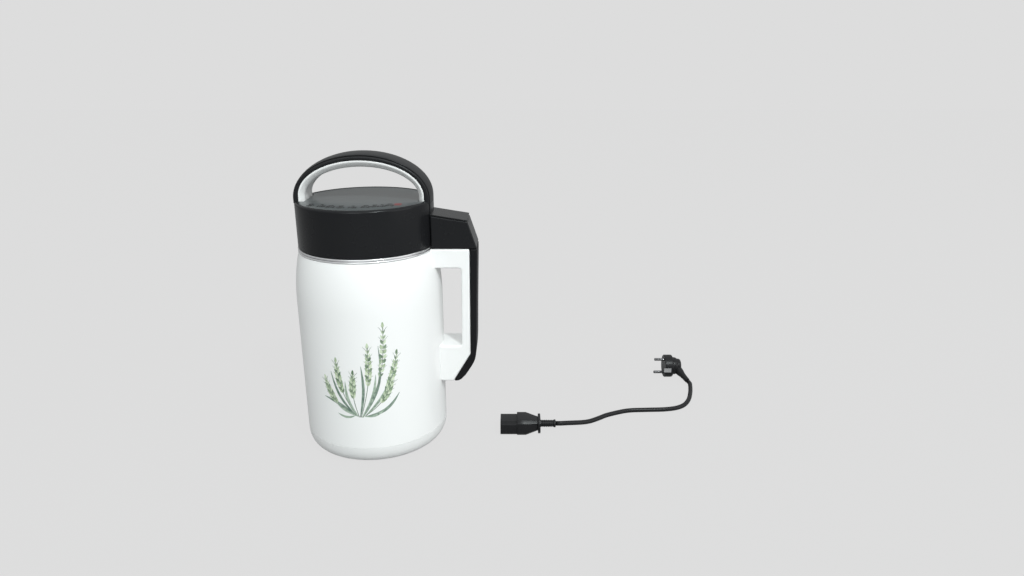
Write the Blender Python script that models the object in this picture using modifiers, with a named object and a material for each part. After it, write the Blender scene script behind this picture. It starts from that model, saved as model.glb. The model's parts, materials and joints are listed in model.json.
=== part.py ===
"""Soy milk maker: a double walled jug with a side handle, a lift-off motor head with a
fixed carrying arch, a blade on a long shaft, and its cord set lying beside it.

Metres, +Z up. The origin is on the jug's axis at table height, +X runs towards the
side handle and -Y is the front."""

import bpy
import bmesh
from math import cos, pi, radians, sin, sqrt, tau
from mathutils import Matrix, Vector

# Driving sizes of the jug
body_radius = 0.080
body_height = 0.226
shell_wall = 0.0024
seam_height = 0.0208
cup_space = 0.018
steel_gauge = 0.0008

# Driving sizes of the head
head_inset = 0.0068
head_height = 0.048
head_wall = 0.0025
arch_rise = 0.0505

# Driving sizes of the side handle, which the nose of the head and the arch share
handle_width = 0.040
handle_depth = 0.0407
post_depth = 0.0177
grip_thickness = 0.0056
handle_bottom_height = 0.0729

# Clearances
gap = 0.0003
fit_gap = 0.0001
overrun = 0.005

# Fineness of round shapes
big_steps = 48
inner_steps = 32
mid_steps = 20
small_steps = 16


def new_collection(name):
    """Make a collection in the scene."""
    collection = bpy.data.collections.new(name)
    bpy.context.scene.collection.children.link(collection)
    return collection


for old in list(bpy.data.objects):
    bpy.data.objects.remove(old, do_unlink=True)

parts = new_collection("soy_milk_maker")
cutters = new_collection("cutters")


def finish(name, color, roughness, metallic=0.0):
    """Make a material with one Principled shader."""
    made = bpy.data.materials.new(name)
    made.use_nodes = True
    shader = made.node_tree.nodes["Principled BSDF"]
    shader.inputs["Base Color"].default_value = (*color, 1.0)
    shader.inputs["Roughness"].default_value = roughness
    shader.inputs["Metallic"].default_value = metallic
    return made


def empty(name, parent=None):
    """Add an empty on the jug's axis that carries a moving group."""
    made = bpy.data.objects.new(name, None)
    parts.objects.link(made)
    made.parent = parent
    return made


head_group = empty("head_lift_axis")
rotor_group = empty("blade_spin_axis", head_group)


def add(name, mesh, material=None, at=(0, 0, 0), turn=(0, 0, 0), group=None):
    """Put a mesh in the scene as a sub-part, or as a cutter where it has no material."""
    made = bpy.data.objects.new(name, mesh)
    made.location = at
    made.rotation_euler = turn
    if material is None:
        cutters.objects.link(made)
        made.hide_render = True
        made.display_type = "WIRE"
    else:
        parts.objects.link(made)
        mesh.materials.append(material)
        made.parent = group
    return made


def turned(name, profile, material=None, steps=mid_steps, closed=True, **placing):
    """Turn a profile of (radius, height) points about Z. It runs down its outer side."""
    mesh = bpy.data.meshes.new(name)
    count = len(profile)
    edges = [(i, i + 1) for i in range(count - 1)]
    if closed:
        edges.append((count - 1, 0))
    mesh.from_pydata([(r, 0, z) for r, z in profile], edges, [])
    made = add(name, mesh, material, **placing)
    screw = made.modifiers.new("Turn", "SCREW")
    screw.steps = steps
    screw.render_steps = steps
    screw.use_merge_vertices = True
    screw.merge_threshold = merge_distance
    screw.use_smooth_shade = True
    return made


merge_distance = 0.00001


def rod(name, radius, low, high, material=None, steps=small_steps, **placing):
    """A plain round bar from one height to another."""
    profile = [(0, high), (radius, high), (radius, low), (0, low)]
    return turned(name, profile, material, steps, closed=False, **placing)


def ring(name, inner, outer, low, high, material=None, steps=mid_steps, **placing):
    """A plain ring of rectangular section."""
    profile = [(inner, high), (outer, high), (outer, low), (inner, low)]
    return turned(name, profile, material, steps, **placing)


def block(name, low, high, material=None, **placing):
    """A box between two corners."""
    mesh = bpy.data.meshes.new(name)
    shape = bmesh.new()
    bmesh.ops.create_cube(shape, size=1.0)
    size = [b - a for a, b in zip(low, high)]
    middle = [(a + b) / 2 for a, b in zip(low, high)]
    bmesh.ops.scale(shape, vec=size, verts=shape.verts)
    bmesh.ops.translate(shape, vec=middle, verts=shape.verts)
    shape.to_mesh(mesh)
    shape.free()
    return add(name, mesh, material, **placing)


def plate(name, outline, half, material=None, standing=True, **placing):
    """Fill a flat outline and extrude it both ways. Standing plates lie in XZ."""
    curve = bpy.data.curves.new(name, "CURVE")
    curve.dimensions = "2D"
    curve.fill_mode = "BOTH"
    curve.extrude = half
    spline = curve.splines.new("POLY")
    spline.points.add(len(outline) - 1)
    for point, (u, v) in zip(spline.points, outline):
        point.co = (u, v, 0, 1)
    spline.use_cyclic_u = True
    made = as_mesh_object(name, curve, material, **placing)
    if standing:
        made.data.transform(Matrix.Rotation(pi / 2, 4, "X"))
    return made


def as_mesh_object(name, curve, material=None, **placing):
    """Turn a curve into a welded mesh, so that modifiers can work on it."""
    source = bpy.data.objects.new(name + "_curve", curve)
    bpy.context.scene.collection.objects.link(source)
    graph = bpy.context.evaluated_depsgraph_get()
    mesh = bpy.data.meshes.new_from_object(source.evaluated_get(graph))
    mesh.name = name
    bpy.data.objects.remove(source, do_unlink=True)
    shape = bmesh.new()
    shape.from_mesh(mesh)
    bmesh.ops.remove_doubles(shape, verts=shape.verts, dist=merge_distance)
    shape.to_mesh(mesh)
    shape.free()
    return add(name, mesh, material, **placing)


def tube(name, points, radius, material, fineness, **placing):
    """A round cord or wire along points, with filled ends."""
    curve = bpy.data.curves.new(name, "CURVE")
    curve.dimensions = "3D"
    curve.bevel_depth = radius
    curve.bevel_resolution = fineness
    curve.use_fill_caps = True
    spline = curve.splines.new("POLY")
    spline.points.add(len(points) - 1)
    for point, place in zip(spline.points, points):
        point.co = (*place, 1)
    return as_mesh_object(name, curve, material, **placing)


def combine(target, tool, operation="DIFFERENCE"):
    """Cut, join or trim a piece with another by a Boolean modifier."""
    boolean = target.modifiers.new(tool.name, "BOOLEAN")
    boolean.operation = operation
    boolean.object = tool
    boolean.solver = "EXACT"


def joined(tools):
    """Join separate cutters into one, so that a piece gets all its bores in one cut."""
    first = tools[0]
    for tool in tools[1:]:
        combine(first, tool, "UNION")
    return first


def rounded(target, width, segments=1, limit=radians(35)):
    """Round the sharp edges of a piece."""
    bevel = target.modifiers.new("Edges", "BEVEL")
    bevel.width = width
    bevel.segments = segments
    bevel.limit_method = "ANGLE"
    bevel.angle_limit = limit


def arc(center, radii, start, stop, count):
    """Points on an ellipse from one angle to another, in (across, up) pairs."""
    angles = [start + (stop - start) * i / (count - 1) for i in range(count)]
    return [(center[0] + radii[0] * cos(a), center[1] + radii[1] * sin(a)) for a in angles]


def around(radius, angle, height=0.0):
    """A place at a radius and an angle about the jug's axis."""
    return (radius * cos(angle), radius * sin(angle), height)


skew_share = 0.17


def spot(radius, angle):
    """Where a small round piece stands on a circle, and how it is turned there."""
    skew = skew_share * tau / small_steps
    return {"at": around(radius, angle), "turn": (0, 0, angle + skew)}


# Finishes
white_shell = finish("white_shell", (0.93, 0.94, 0.93), 0.18)
white_base = finish("white_base", (0.88, 0.89, 0.88), 0.22)
black_gloss = finish("black_gloss", (0.012, 0.012, 0.013), 0.16)
panel_glass = finish("panel_glass", (0.10, 0.11, 0.11), 0.12)
white_lining = finish("white_lining", (0.85, 0.86, 0.85), 0.3)
steel = finish("steel", (0.62, 0.62, 0.63), 0.22, 1.0)
chrome = finish("chrome", (0.78, 0.78, 0.79), 0.1, 1.0)
aluminium = finish("aluminium", (0.6, 0.61, 0.62), 0.4, 1.0)
iron = finish("iron", (0.25, 0.25, 0.26), 0.45, 1.0)
copper = finish("copper", (0.72, 0.36, 0.18), 0.35, 1.0)
brass = finish("brass", (0.75, 0.6, 0.3), 0.3, 1.0)
inner_plastic = finish("inner_plastic", (0.08, 0.08, 0.085), 0.5)
board_green = finish("board_green", (0.03, 0.2, 0.1), 0.5)
silicone = finish("silicone", (0.75, 0.75, 0.73), 0.6)
foot_rubber = finish("foot_rubber", (0.05, 0.05, 0.05), 0.8)
cord_black = finish("cord_black", (0.02, 0.02, 0.02), 0.5)

# Heights and reaches that the pieces share
ring_height = 0.006
nose_seam = 0.0014
rim_draw = 0.0066
rim_play = 0.0008
rim_height = body_height
head_base_height = rim_height + ring_height
head_top_height = head_base_height + head_height
nose_base_height = rim_height + 2 * gap + nose_seam
handle_top = nose_base_height - gap
half_width = handle_width / 2
rim_radius = body_radius - rim_draw
rim_clearance_radius = rim_radius + rim_play
cup_radius = body_radius - cup_space
head_radius = body_radius - head_inset
handle_reach = body_radius + handle_depth
window_reach = handle_reach - post_depth

# The jug's outer shell and its side handle
shoulder_rise = 0.058
shoulder_power = 2.3
ledge_depth = 0.0056
ledge_height = 0.0032
ledge_rise = 0.0017
upper_arm_depth = 0.0215
lower_arm_depth = 0.0431
window_lean = 0.0006
post_lean = 0.0018
knee_drop = 0.0097
toe_inset = 0.0286
window_corner = 0.0030
handle_root_inset = 0.020
channel_side_wall = 0.0045
channel_wall = 0.0030
channel_top_wall = 0.0032
lead_hole_half_width = 0.0045
lead_hole_half_height = 0.0085
lead_hole_drop = 0.0075
shoulder_points = 8
inner_shoulder_points = 4
handle_edge = 0.0012
shoulder_start = rim_height - shoulder_rise
shell_bottom = seam_height + gap / 2
ledge_top = shell_bottom + ledge_rise + ledge_height
window_top = handle_top - upper_arm_depth
window_bottom = handle_bottom_height + lower_arm_depth
knee_height = window_bottom - knee_drop
toe_reach = handle_reach - toe_inset
handle_root = body_radius - handle_root_inset
channel_half = half_width - channel_side_wall
arm_height = (handle_bottom_height + window_bottom) / 2


def shoulder(inset, count, bottom):
    """The side of the jug from its rim down, as deep inside its surface as asked."""
    side = []
    drop = body_radius - rim_radius
    for i in range(count):
        z = rim_height + (shoulder_start - rim_height) * i / (count - 1)
        share = (z - shoulder_start) / (rim_height - shoulder_start)
        side.append((body_radius - drop * max(share, 0) ** shoulder_power - inset, z))
    side.append((body_radius - inset, bottom))
    return side


def post_at(height):
    """How far out the white post reaches at a height, inside the black grip."""
    top_reach = handle_reach - grip_thickness - post_lean
    lean = post_lean * (nose_base_height - height) / (nose_base_height - knee_height)
    return top_reach - lean


def side_handle():
    """The white side handle: two arms and a post round the finger window, hollow inside."""
    corner = window_corner
    low_reach = window_reach - window_lean
    upper = arc((window_reach - corner, window_top - corner), (corner, corner), pi / 2, 0, 4)
    lower = arc((low_reach - corner, window_bottom + corner), (corner, corner), 0, -pi / 2, 4)
    outline = [
        (handle_root, handle_top),
        (handle_root, window_top),
        *upper,
        *lower,
        (handle_root, window_bottom),
        (handle_root, handle_bottom_height),
        (toe_reach, handle_bottom_height),
        (post_at(knee_height), knee_height),
        (post_at(handle_top), handle_top),
    ]
    handle = plate("side_handle", outline, half_width, white_shell)
    rounded(handle, handle_edge)
    below = handle_bottom_height - overrun
    shell_space = [
        (0, rim_height + overrun),
        (rim_clearance_radius, rim_height + overrun),
        (rim_clearance_radius, rim_height),
        *shoulder(-gap, shoulder_points, below),
        (0, below),
    ]
    combine(handle, turned("shell_space", shell_space, None, big_steps, closed=False))
    post_inside = window_reach + channel_wall
    low_roof = window_bottom - channel_wall
    past_post = handle_reach + overrun
    low_floor = handle_bottom_height + channel_wall
    top_roof = handle_top - channel_top_wall
    channel = [
        (handle_root, top_roof),
        (handle_root, window_top + channel_wall),
        (post_inside, window_top + channel_wall),
        (post_inside, low_roof),
        (handle_root, low_roof),
        (handle_root, low_floor),
        (toe_reach + overrun, low_floor),
        (past_post, knee_height),
        (past_post, top_roof),
    ]
    combine(handle, plate("handle_channel", channel, channel_half))
    combine(handle, block("socket_opening", *coupler_box(gap, window_top, handle_top + overrun)))


def jug_shell():
    """The white outer shell with its ledge, the mains opening and the hole for the lead."""
    ledge_radius = body_radius - shell_wall - ledge_depth
    inside = shoulder(shell_wall, inner_shoulder_points, ledge_top)
    profile = [
        *shoulder(0, shoulder_points, shell_bottom),
        (body_radius - shell_wall, shell_bottom),
        (body_radius - shell_wall, ledge_top - ledge_height),
        (ledge_radius, ledge_top - ledge_height),
        (ledge_radius, ledge_top),
        *reversed(inside),
    ]
    shell = turned("jug_shell", profile, white_shell, big_steps)
    combine(shell, block("inlet_opening", *inlet_box(gap, body_radius + overrun)))
    middle = arm_height - lead_hole_drop
    low = (handle_root, -lead_hole_half_width, middle - lead_hole_half_height)
    high = (body_radius + overrun, lead_hole_half_width, middle + lead_hole_half_height)
    combine(shell, block("lead_hole", low, high))


# The coupler between the nose of the head and the handle of the jug
coupler_inset = 0.0257
coupler_half_length = 0.012
coupler_half_width = 0.009
coupler_pitch = 0.007
coupler_pin_radius = 0.0016
coupler_hole_radius = 0.0019
coupler_pin_reach = 0.0112
coupler_plug_height = 0.0100
coupler_tail = 0.0025
coupler_middle = handle_reach - coupler_inset
coupler_pin_low = handle_top - coupler_pin_reach


def coupler_box(grow, low, high):
    """Corners of the coupler's box, grown sideways by a clearance."""
    x = coupler_half_length + grow
    y = coupler_half_width + grow
    return (coupler_middle - x, -y, low), (coupler_middle + x, y, high)


def coupler_places():
    """The three pins of the coupler, in a row along the handle."""
    return [(coupler_middle + i * coupler_pitch, 0, 0) for i in (-1, 0, 1)]


def coupler_socket():
    """The jug's half of the coupler, with three holes for the head's pins."""
    low = window_top + channel_wall + gap
    socket = block("coupler_socket", *coupler_box(0, low, handle_top), inner_plastic)
    hole_low = coupler_pin_low - coupler_tail
    holes = []
    for i, place in enumerate(coupler_places()):
        holes.append(rod(f"socket_hole_{i}", coupler_hole_radius, hole_low, handle_top + overrun, at=place))
    combine(socket, joined(holes))


def coupler_plug():
    """The head's half of the coupler and its three pins."""
    low = nose_base_height + gap
    high = low + coupler_plug_height
    plug = block("coupler_plug", *coupler_box(0, low, high), inner_plastic, group=head_group)
    bore = coupler_pin_radius + fit_gap
    bores = []
    for i, place in enumerate(coupler_places()):
        bores.append(rod(f"plug_bore_{i}", bore, low - overrun, high + overrun, at=place))
        rod(f"coupler_pin_{i + 1}", coupler_pin_radius, coupler_pin_low, high + coupler_tail,
            brass, at=place, group=head_group)
    combine(plug, joined(bores))


# The black grip down the outside of the handle
grip_bulge_drop = 0.0087
heel_length = 0.0049
heel_rise = 0.0016
heel_step = 0.0035
grip_shin_inset = 0.0033
grip_shin_rise = 0.0216
grip_knee_inset = 0.0145
grip_knee_rise = 0.0079
grip_edge = 0.0016
grip_tab_near = 0.0050
grip_tab_play = 0.0035
grip_tab_height = 0.006
grip_tab_shares = (0.22, 0.78)
heel_reach = toe_reach + heel_length
grip_tab_far = channel_half - grip_tab_play


def grip_cover():
    """The black cover that closes the handle's wire channel."""
    outline = [
        (post_at(handle_top) + gap, handle_top),
        (post_at(knee_height) + gap, knee_height),
        (toe_reach + gap, handle_bottom_height),
        (heel_reach - heel_step, handle_bottom_height),
        (heel_reach + heel_step, handle_bottom_height + heel_rise),
        (handle_reach - grip_knee_inset, handle_bottom_height + grip_knee_rise),
        (handle_reach - grip_shin_inset, handle_bottom_height + grip_shin_rise),
        (handle_reach, handle_top - grip_bulge_drop),
        (handle_reach, handle_top),
    ]
    cover = plate("grip_cover", outline, half_width, black_gloss)
    rounded(cover, grip_edge)
    for i, share in enumerate(grip_tab_shares):
        z = knee_height + (handle_top - knee_height) * share
        near, far = (grip_tab_near, grip_tab_far) if i % 2 else (-grip_tab_far, -grip_tab_near)
        low = (window_reach + channel_wall + gap, near, z)
        high = (handle_reach - grip_thickness / 2, far, z + grip_tab_height)
        combine(cover, block(f"grip_tab_{i}", low, high), "UNION")


# The base cover, its screws and feet
foot_height = 0.0012
base_plane = foot_height + gap
base_wall = 0.0022
base_round_reach = 0.0170
foot_radius = 0.0085
foot_inset = 0.030
foot_count = 3
base_boss_radius = 0.0045
base_boss_inset = 0.020
base_boss_count = 3
screw_radius = 0.0017
screw_head_radius = 0.0032
screw_head_height = 0.0022
screw_reach = 0.0009
counterbore_depth = 0.0050
screw_clearance = 0.0002
base_points = 8
base_inner_points = 4
foot_circle = body_radius - foot_inset
base_boss_circle = body_radius - base_boss_inset


def bowl(inset, low, high, count):
    """The rounded edge of the base from its seam down to its flat."""
    center = (body_radius - base_round_reach, high)
    radii = (base_round_reach - inset, high - low)
    return arc(center, radii, 0, -pi / 2, count)


def base_boss_angles():
    """The three screws stand between the feet, each amid one face of the turned shapes."""
    first = -pi / 2 + pi / big_steps
    return [first + tau * i / base_boss_count for i in range(base_boss_count)]


def base_cover():
    """The rounded bottom of the jug, with three screw bosses."""
    top = seam_height - gap / 2
    outer = bowl(0, base_plane, top, base_points)
    inner = bowl(base_wall, base_plane + base_wall, top, base_inner_points)
    profile = [(0, base_plane + base_wall), *reversed(inner), *outer, (0, base_plane)]
    cover = turned("base_cover", profile, white_base, big_steps, closed=False)
    boss_top = chassis_low - gap
    bore = screw_radius + screw_clearance
    sink_radius = screw_head_radius + gap
    sink_top = base_plane + counterbore_depth
    stepped = [
        (0, boss_top + overrun),
        (bore, boss_top + overrun),
        (bore, sink_top),
        (sink_radius, sink_top),
        (sink_radius, base_plane - overrun),
        (0, base_plane - overrun),
    ]
    boss_low = base_plane + base_wall / 2
    head_top = sink_top - gap
    screw_tip = chassis_top + screw_reach
    screw = [
        (0, screw_tip),
        (screw_radius, screw_tip),
        (screw_radius, head_top),
        (screw_head_radius, head_top),
        (screw_head_radius, head_top - screw_head_height),
        (0, head_top - screw_head_height),
    ]
    bores = []
    for i, angle in enumerate(base_boss_angles()):
        place = spot(base_boss_circle, angle)
        combine(cover, rod(f"base_boss_{i}", base_boss_radius, boss_low, boss_top, **place), "UNION")
        bores.append(turned(f"base_bore_{i}", stepped, None, small_steps, closed=False, **place))
        turned(f"base_screw_{i + 1}", screw, iron, small_steps, closed=False, **place)
    combine(cover, joined(bores))


def feet():
    """Three flat rubber feet."""
    for i in range(foot_count):
        place = around(foot_circle, pi / 2 + tau * i / foot_count)
        rod(f"foot_{i + 1}", foot_radius, 0, foot_height, foot_rubber, at=place)


# The chassis in the base, which carries the heater and the steel cup
chassis_thickness = 0.0030
chassis_band = 0.0165
chassis_pillar_radius = 0.0040
chassis_pillar_inset = 0.0045
chassis_pillar_height = 0.0163
chassis_pillar_count = 3
chassis_boss_height = 0.0080
plate_inset = 0.0110
plate_thickness = 0.0040
chassis_low = ledge_top + gap
chassis_top = chassis_low + chassis_thickness
plate_radius = cup_radius - plate_inset
plate_low = chassis_top + chassis_pillar_height + gap
plate_top = plate_low + plate_thickness
cup_floor_height = plate_top + gap
chassis_pillar_circle = plate_radius - chassis_pillar_inset
chassis_inner_radius = chassis_pillar_circle - chassis_band


def chassis():
    """A ring on the shell's ledge, with pillars to the heater plate."""
    outer = body_radius - shell_wall - gap
    high = chassis_top
    made = ring("chassis", chassis_inner_radius, outer, chassis_low, high, inner_plastic, inner_steps)
    middle = chassis_low + chassis_thickness / 2
    for i in range(chassis_pillar_count):
        place = spot(chassis_pillar_circle, -pi / 6 + tau * i / chassis_pillar_count)
        pillar = rod(f"pillar_{i}", chassis_pillar_radius, middle, plate_low - gap, **place)
        combine(made, pillar, "UNION")
    top = high + chassis_boss_height
    bore = screw_radius + screw_clearance
    bores = []
    for i, angle in enumerate(base_boss_angles()):
        place = spot(base_boss_circle, angle)
        combine(made, rod(f"chassis_boss_{i}", base_boss_radius, middle, top, **place), "UNION")
        bores.append(rod(f"chassis_bore_{i}", bore, chassis_low - overrun, top + overrun, **place))
    combine(made, joined(bores))


# The heater under the cup
heater_tube_radius = 0.0035
heater_inset = 0.0170
heater_sweep = radians(300)
heater_points = 20
heater_tail = 0.0060
thermostat_radius = 0.0090
thermostat_height = 0.0080
heater_circle = plate_radius - heater_inset


def heater():
    """The heater plate, its tubular element and the thermostat clipped below it."""
    rod("heater_plate", plate_radius, plate_low, plate_top, aluminium, inner_steps)
    middle = plate_low - gap - heater_tube_radius
    start = pi / 2 + (tau - heater_sweep) / 2
    points = []
    for i in range(heater_points):
        angle = start + heater_sweep * i / (heater_points - 1)
        points.append(Vector(around(heater_circle, angle, middle)))
    radial = Vector(around(heater_tail, start)), Vector(around(heater_tail, start + heater_sweep))
    points.insert(0, points[0] - radial[0])
    points.append(points[-1] - radial[1])
    tube("heater_element", points, heater_tube_radius, steel, 1)
    top = plate_low - gap
    rod("thermostat", thermostat_radius, top - thermostat_height, top, inner_plastic)


# The steel cup and the bright ring round its mouth
cup_corner = 0.010
cup_flange_inset = 0.0018
ring_overhang = 0.0004
ring_groove_depth = 0.0009
ring_groove_height = 0.0012
ring_edge = 0.0006
cup_points = 4
cup_flange_reach = rim_radius - cup_flange_inset
ring_radius = rim_radius + ring_overhang


def inner_cup():
    """The deep drawn steel cup, hung by its flange on the rim of the shell."""
    gauge = steel_gauge
    top = rim_height + gap + gauge
    center = (cup_radius - cup_corner, cup_floor_height + cup_corner)
    outer = arc(center, (cup_corner, cup_corner), 0, -pi / 2, cup_points)
    bend = cup_corner - gauge
    inner = arc(center, (bend, bend), -pi / 2, 0, cup_points)
    profile = [
        (0, cup_floor_height + gauge),
        *inner,
        (cup_radius - gauge, top),
        (cup_flange_reach, top),
        (cup_flange_reach, top - gauge),
        (cup_radius, top - gauge),
        *outer,
        (0, cup_floor_height),
    ]
    turned("inner_cup", profile, steel, inner_steps, closed=False)


def rim_ring():
    """The bright ring between the shell and the head, with a groove round it."""
    low = rim_height + gap
    step = rim_height + gap + steel_gauge + gap
    high = head_base_height - gap
    middle = (low + high) / 2
    half = ring_groove_height / 2
    inner = cup_radius - steel_gauge + gap
    lip = cup_flange_reach + gap
    profile = [
        (inner, high),
        (ring_radius - ring_edge, high),
        (ring_radius, high - ring_edge),
        (ring_radius, middle + half),
        (ring_radius - ring_groove_depth, middle),
        (ring_radius, middle - half),
        (ring_radius, low),
        (lip, low),
        (lip, step),
        (inner, step),
    ]
    turned("rim_ring", profile, chrome, big_steps)


# The mains inlet at the back of the jug, low down
inlet_half_width = 0.0138
inlet_half_height = 0.0102
inlet_lift = 0.0005
inlet_inset = 0.0012
inlet_space = 0.0050
inlet_wall = 0.0016
inlet_mouth_depth = 0.0170
inlet_pin_half_thickness = 0.0010
inlet_pin_half_height = 0.0020
inlet_pin_spread = 0.0070
inlet_pin_rise = 0.0020
inlet_pin_inset = 0.0030
inlet_pin_tail = 0.0030
inlet_corner = 0.0040
inlet_middle_height = chassis_top + inlet_lift + inlet_half_height
inlet_front = body_radius - inlet_inset
inlet_back = plate_radius + inlet_space
inlet_mouth_half_width = inlet_half_width - inlet_wall
inlet_mouth_half_height = inlet_half_height - inlet_wall


def inlet_box(grow, front):
    """Corners of the inlet's housing, grown by a clearance."""
    x = inlet_half_width + grow
    z = inlet_half_height + grow
    low = (-x, inlet_back - grow, inlet_middle_height - z)
    return low, (x, front, inlet_middle_height + z)


def inlet():
    """The three pole inlet: a socket with two cut corners, and its pins."""
    body = block("inlet_housing", *inlet_box(0, inlet_front), inner_plastic)
    x = inlet_mouth_half_width
    z = inlet_mouth_half_height
    corner = inlet_corner
    mouth_outline = [
        (-x, inlet_middle_height - z),
        (x, inlet_middle_height - z),
        (x, inlet_middle_height + z - corner),
        (x - corner, inlet_middle_height + z),
        (-x + corner, inlet_middle_height + z),
        (-x, inlet_middle_height + z - corner),
    ]
    half_depth = (inlet_mouth_depth + overrun) / 2
    middle = inlet_front - inlet_mouth_depth + half_depth
    mouth = plate("inlet_mouth", mouth_outline, half_depth, at=(0, middle, 0))
    combine(body, mouth)
    places = (
        ("inlet_pin_line", -inlet_pin_spread, -inlet_pin_rise),
        ("inlet_pin_neutral", inlet_pin_spread, -inlet_pin_rise),
        ("inlet_pin_earth", 0, inlet_pin_rise),
    )
    for name, x, rise in places:
        z = inlet_middle_height + rise
        tail = inlet_back - inlet_pin_tail
        tip = inlet_front - inlet_pin_inset
        t = inlet_pin_half_thickness
        h = inlet_pin_half_height
        slot_t = t + fit_gap
        slot_h = h + fit_gap
        slot = block(name + "_slot", (x - slot_t, tail - overrun, z - slot_h), (x + slot_t, tip, z + slot_h))
        combine(body, slot)
        block(name, (x - t, tail, z - h), (x + t, tip, z + h), brass)


# The wires from the inlet up the handle to the coupler, as one sleeved lead
lead_radius = 0.0022
lead_inset = 0.0100
lead_lift = 0.0050
lead_play = 0.0016
lead_bend_inset = 0.0254
lead_bend_angle = radians(70)
lead_sweep_angles = (radians(62), radians(51), radians(35), radians(18))
lead_climb_shares = ((0.0, 0.21), (0.04, 0.49), (0.13, 0.81), (0.43, 1.0))
lead_arm_shares = ((0.78, 0.20), (0.955, 0.63), (1.0, 1.23))
lead_steps = 2


def lead_route():
    """From the inlet's pins round the base, up behind the handle and through its post."""
    tail = inlet_back - inlet_pin_tail - lead_radius - gap
    start = Vector((inlet_pin_spread, tail, inlet_middle_height - inlet_pin_rise))
    low = chassis_top + lead_lift
    circle = body_radius - lead_inset
    points = [start, start + Vector((lead_radius, -lead_radius, -lead_radius / 2))]
    points.append(Vector(around(body_radius - lead_bend_inset, lead_bend_angle, low)))
    points.extend(Vector(around(circle, angle, low)) for angle in lead_sweep_angles)
    up = window_reach + channel_wall + lead_radius + lead_play
    for out, share in lead_climb_shares:
        points.append(Vector((circle + (up - circle) * out, 0, low + (arm_height - low) * share)))
    half = (window_bottom - handle_bottom_height) / 2
    for out, share in lead_arm_shares:
        points.append(Vector((circle + (up - circle) * out, 0, arm_height + half * share)))
    end = window_top + channel_wall
    points.append(Vector((up, 0, (points[-1].z + end) / 2)))
    points.append(Vector((up, 0, end)))
    return points


def handle_lead():
    """The lead in the base and the handle, held by the two mouldings."""
    tube("handle_lead", smooth(lead_route(), lead_steps), lead_radius, cord_black, 1)


def smooth(route, steps):
    """Read points from a smooth curve through the points of a route."""
    points = [Vector(p) for p in route]
    ends = [2 * points[0] - points[1], *points, 2 * points[-1] - points[-2]]
    read = []
    for i in range(1, len(ends) - 2):
        a, b, c, d = ends[i - 1:i + 3]
        for k in range(steps):
            t = k / steps
            first = 2 * b + (c - a) * t
            second = (2 * a - 5 * b + 4 * c - d) * t * t
            third = (3 * b - a - 3 * c + d) * t * t * t
            read.append((first + second + third) / 2)
    read.append(points[-1])
    return read


# The head's black housing, with the nose over the side handle
deck_drop = 0.0027
deck_thickness = 0.0030
deck_ledge = 0.0162
panel_edge = 0.0037
head_edge = 0.0030
nose_root_drop = 0.0145
nose_end_drop = 0.0205
nose_slant = 0.0105
nose_edge = 0.0010
nose_wall = 0.0030
nose_sill_inset = 0.0030
nose_sill_height = 0.0033
arch_depth = 0.0132
deck_top = head_top_height - deck_drop
deck_low = deck_top - deck_thickness
deck_hole_radius = head_radius - deck_ledge
panel_seat_radius = head_radius - panel_edge
nose_root_height = head_top_height - nose_root_drop
nose_end_height = head_top_height - nose_end_drop
nose_end_reach = handle_reach - nose_slant
arch_pocket_half = half_width + gap
arch_inner_reach = head_radius - arch_depth


def head_shell():
    """The black gloss housing: a drum, the nose and the seats of the arch."""
    edge = arc((head_radius - head_edge, head_top_height - head_edge), (head_edge, head_edge), pi / 2, 0, 4)
    profile = [
        (panel_seat_radius, head_top_height),
        *edge,
        (head_radius, head_base_height),
        (head_radius - head_wall, head_base_height),
        (head_radius - head_wall, deck_low),
        (deck_hole_radius, deck_low),
        (deck_hole_radius, deck_top),
        (panel_seat_radius, deck_top),
    ]
    shell = turned("head_shell", profile, black_gloss, big_steps, group=head_group)
    nose_outline = [
        (head_radius - head_wall / 2, nose_base_height),
        (handle_reach, nose_base_height),
        (nose_end_reach, nose_end_height),
        (head_radius - head_wall / 2, nose_root_height),
    ]
    nose = plate("nose", nose_outline, half_width)
    rounded(nose, nose_edge)
    combine(shell, nose, "UNION")
    nose_floor = nose_base_height + nose_wall
    nose_root = head_radius - arch_depth
    nose_sill = body_radius - nose_sill_inset
    hollow = [
        (nose_root, head_base_height + nose_sill_height),
        (nose_sill, head_base_height + nose_sill_height),
        (nose_sill, nose_floor),
        (handle_reach - nose_wall - nose_wall / 2, nose_floor),
        (nose_end_reach - nose_wall, nose_end_height - nose_wall),
        (head_radius, nose_root_height - nose_wall),
        (nose_root, nose_root_height - nose_wall),
    ]
    combine(shell, plate("nose_hollow", hollow, half_width - nose_wall))
    below = nose_base_height - overrun
    combine(shell, rod("ring_space", rim_clearance_radius, below, head_base_height, None, big_steps))
    low = nose_base_height - overrun
    combine(shell, block("plug_opening", *coupler_box(gap, low, nose_floor + overrun)))
    for side, name in ((-1, "left"), (1, "right")):
        near = side * (arch_inner_reach - gap)
        far = side * (head_radius + overrun)
        low = (min(near, far), -arch_pocket_half, deck_top)
        high = (max(near, far), arch_pocket_half, head_top_height + overrun)
        combine(shell, block(f"arch_pocket_{name}", low, high))


# The glossy top panel with its touch keys, and the board below it
panel_thickness = 0.0020
board_thickness = 0.0016
touch_board_margin = 0.0008


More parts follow.
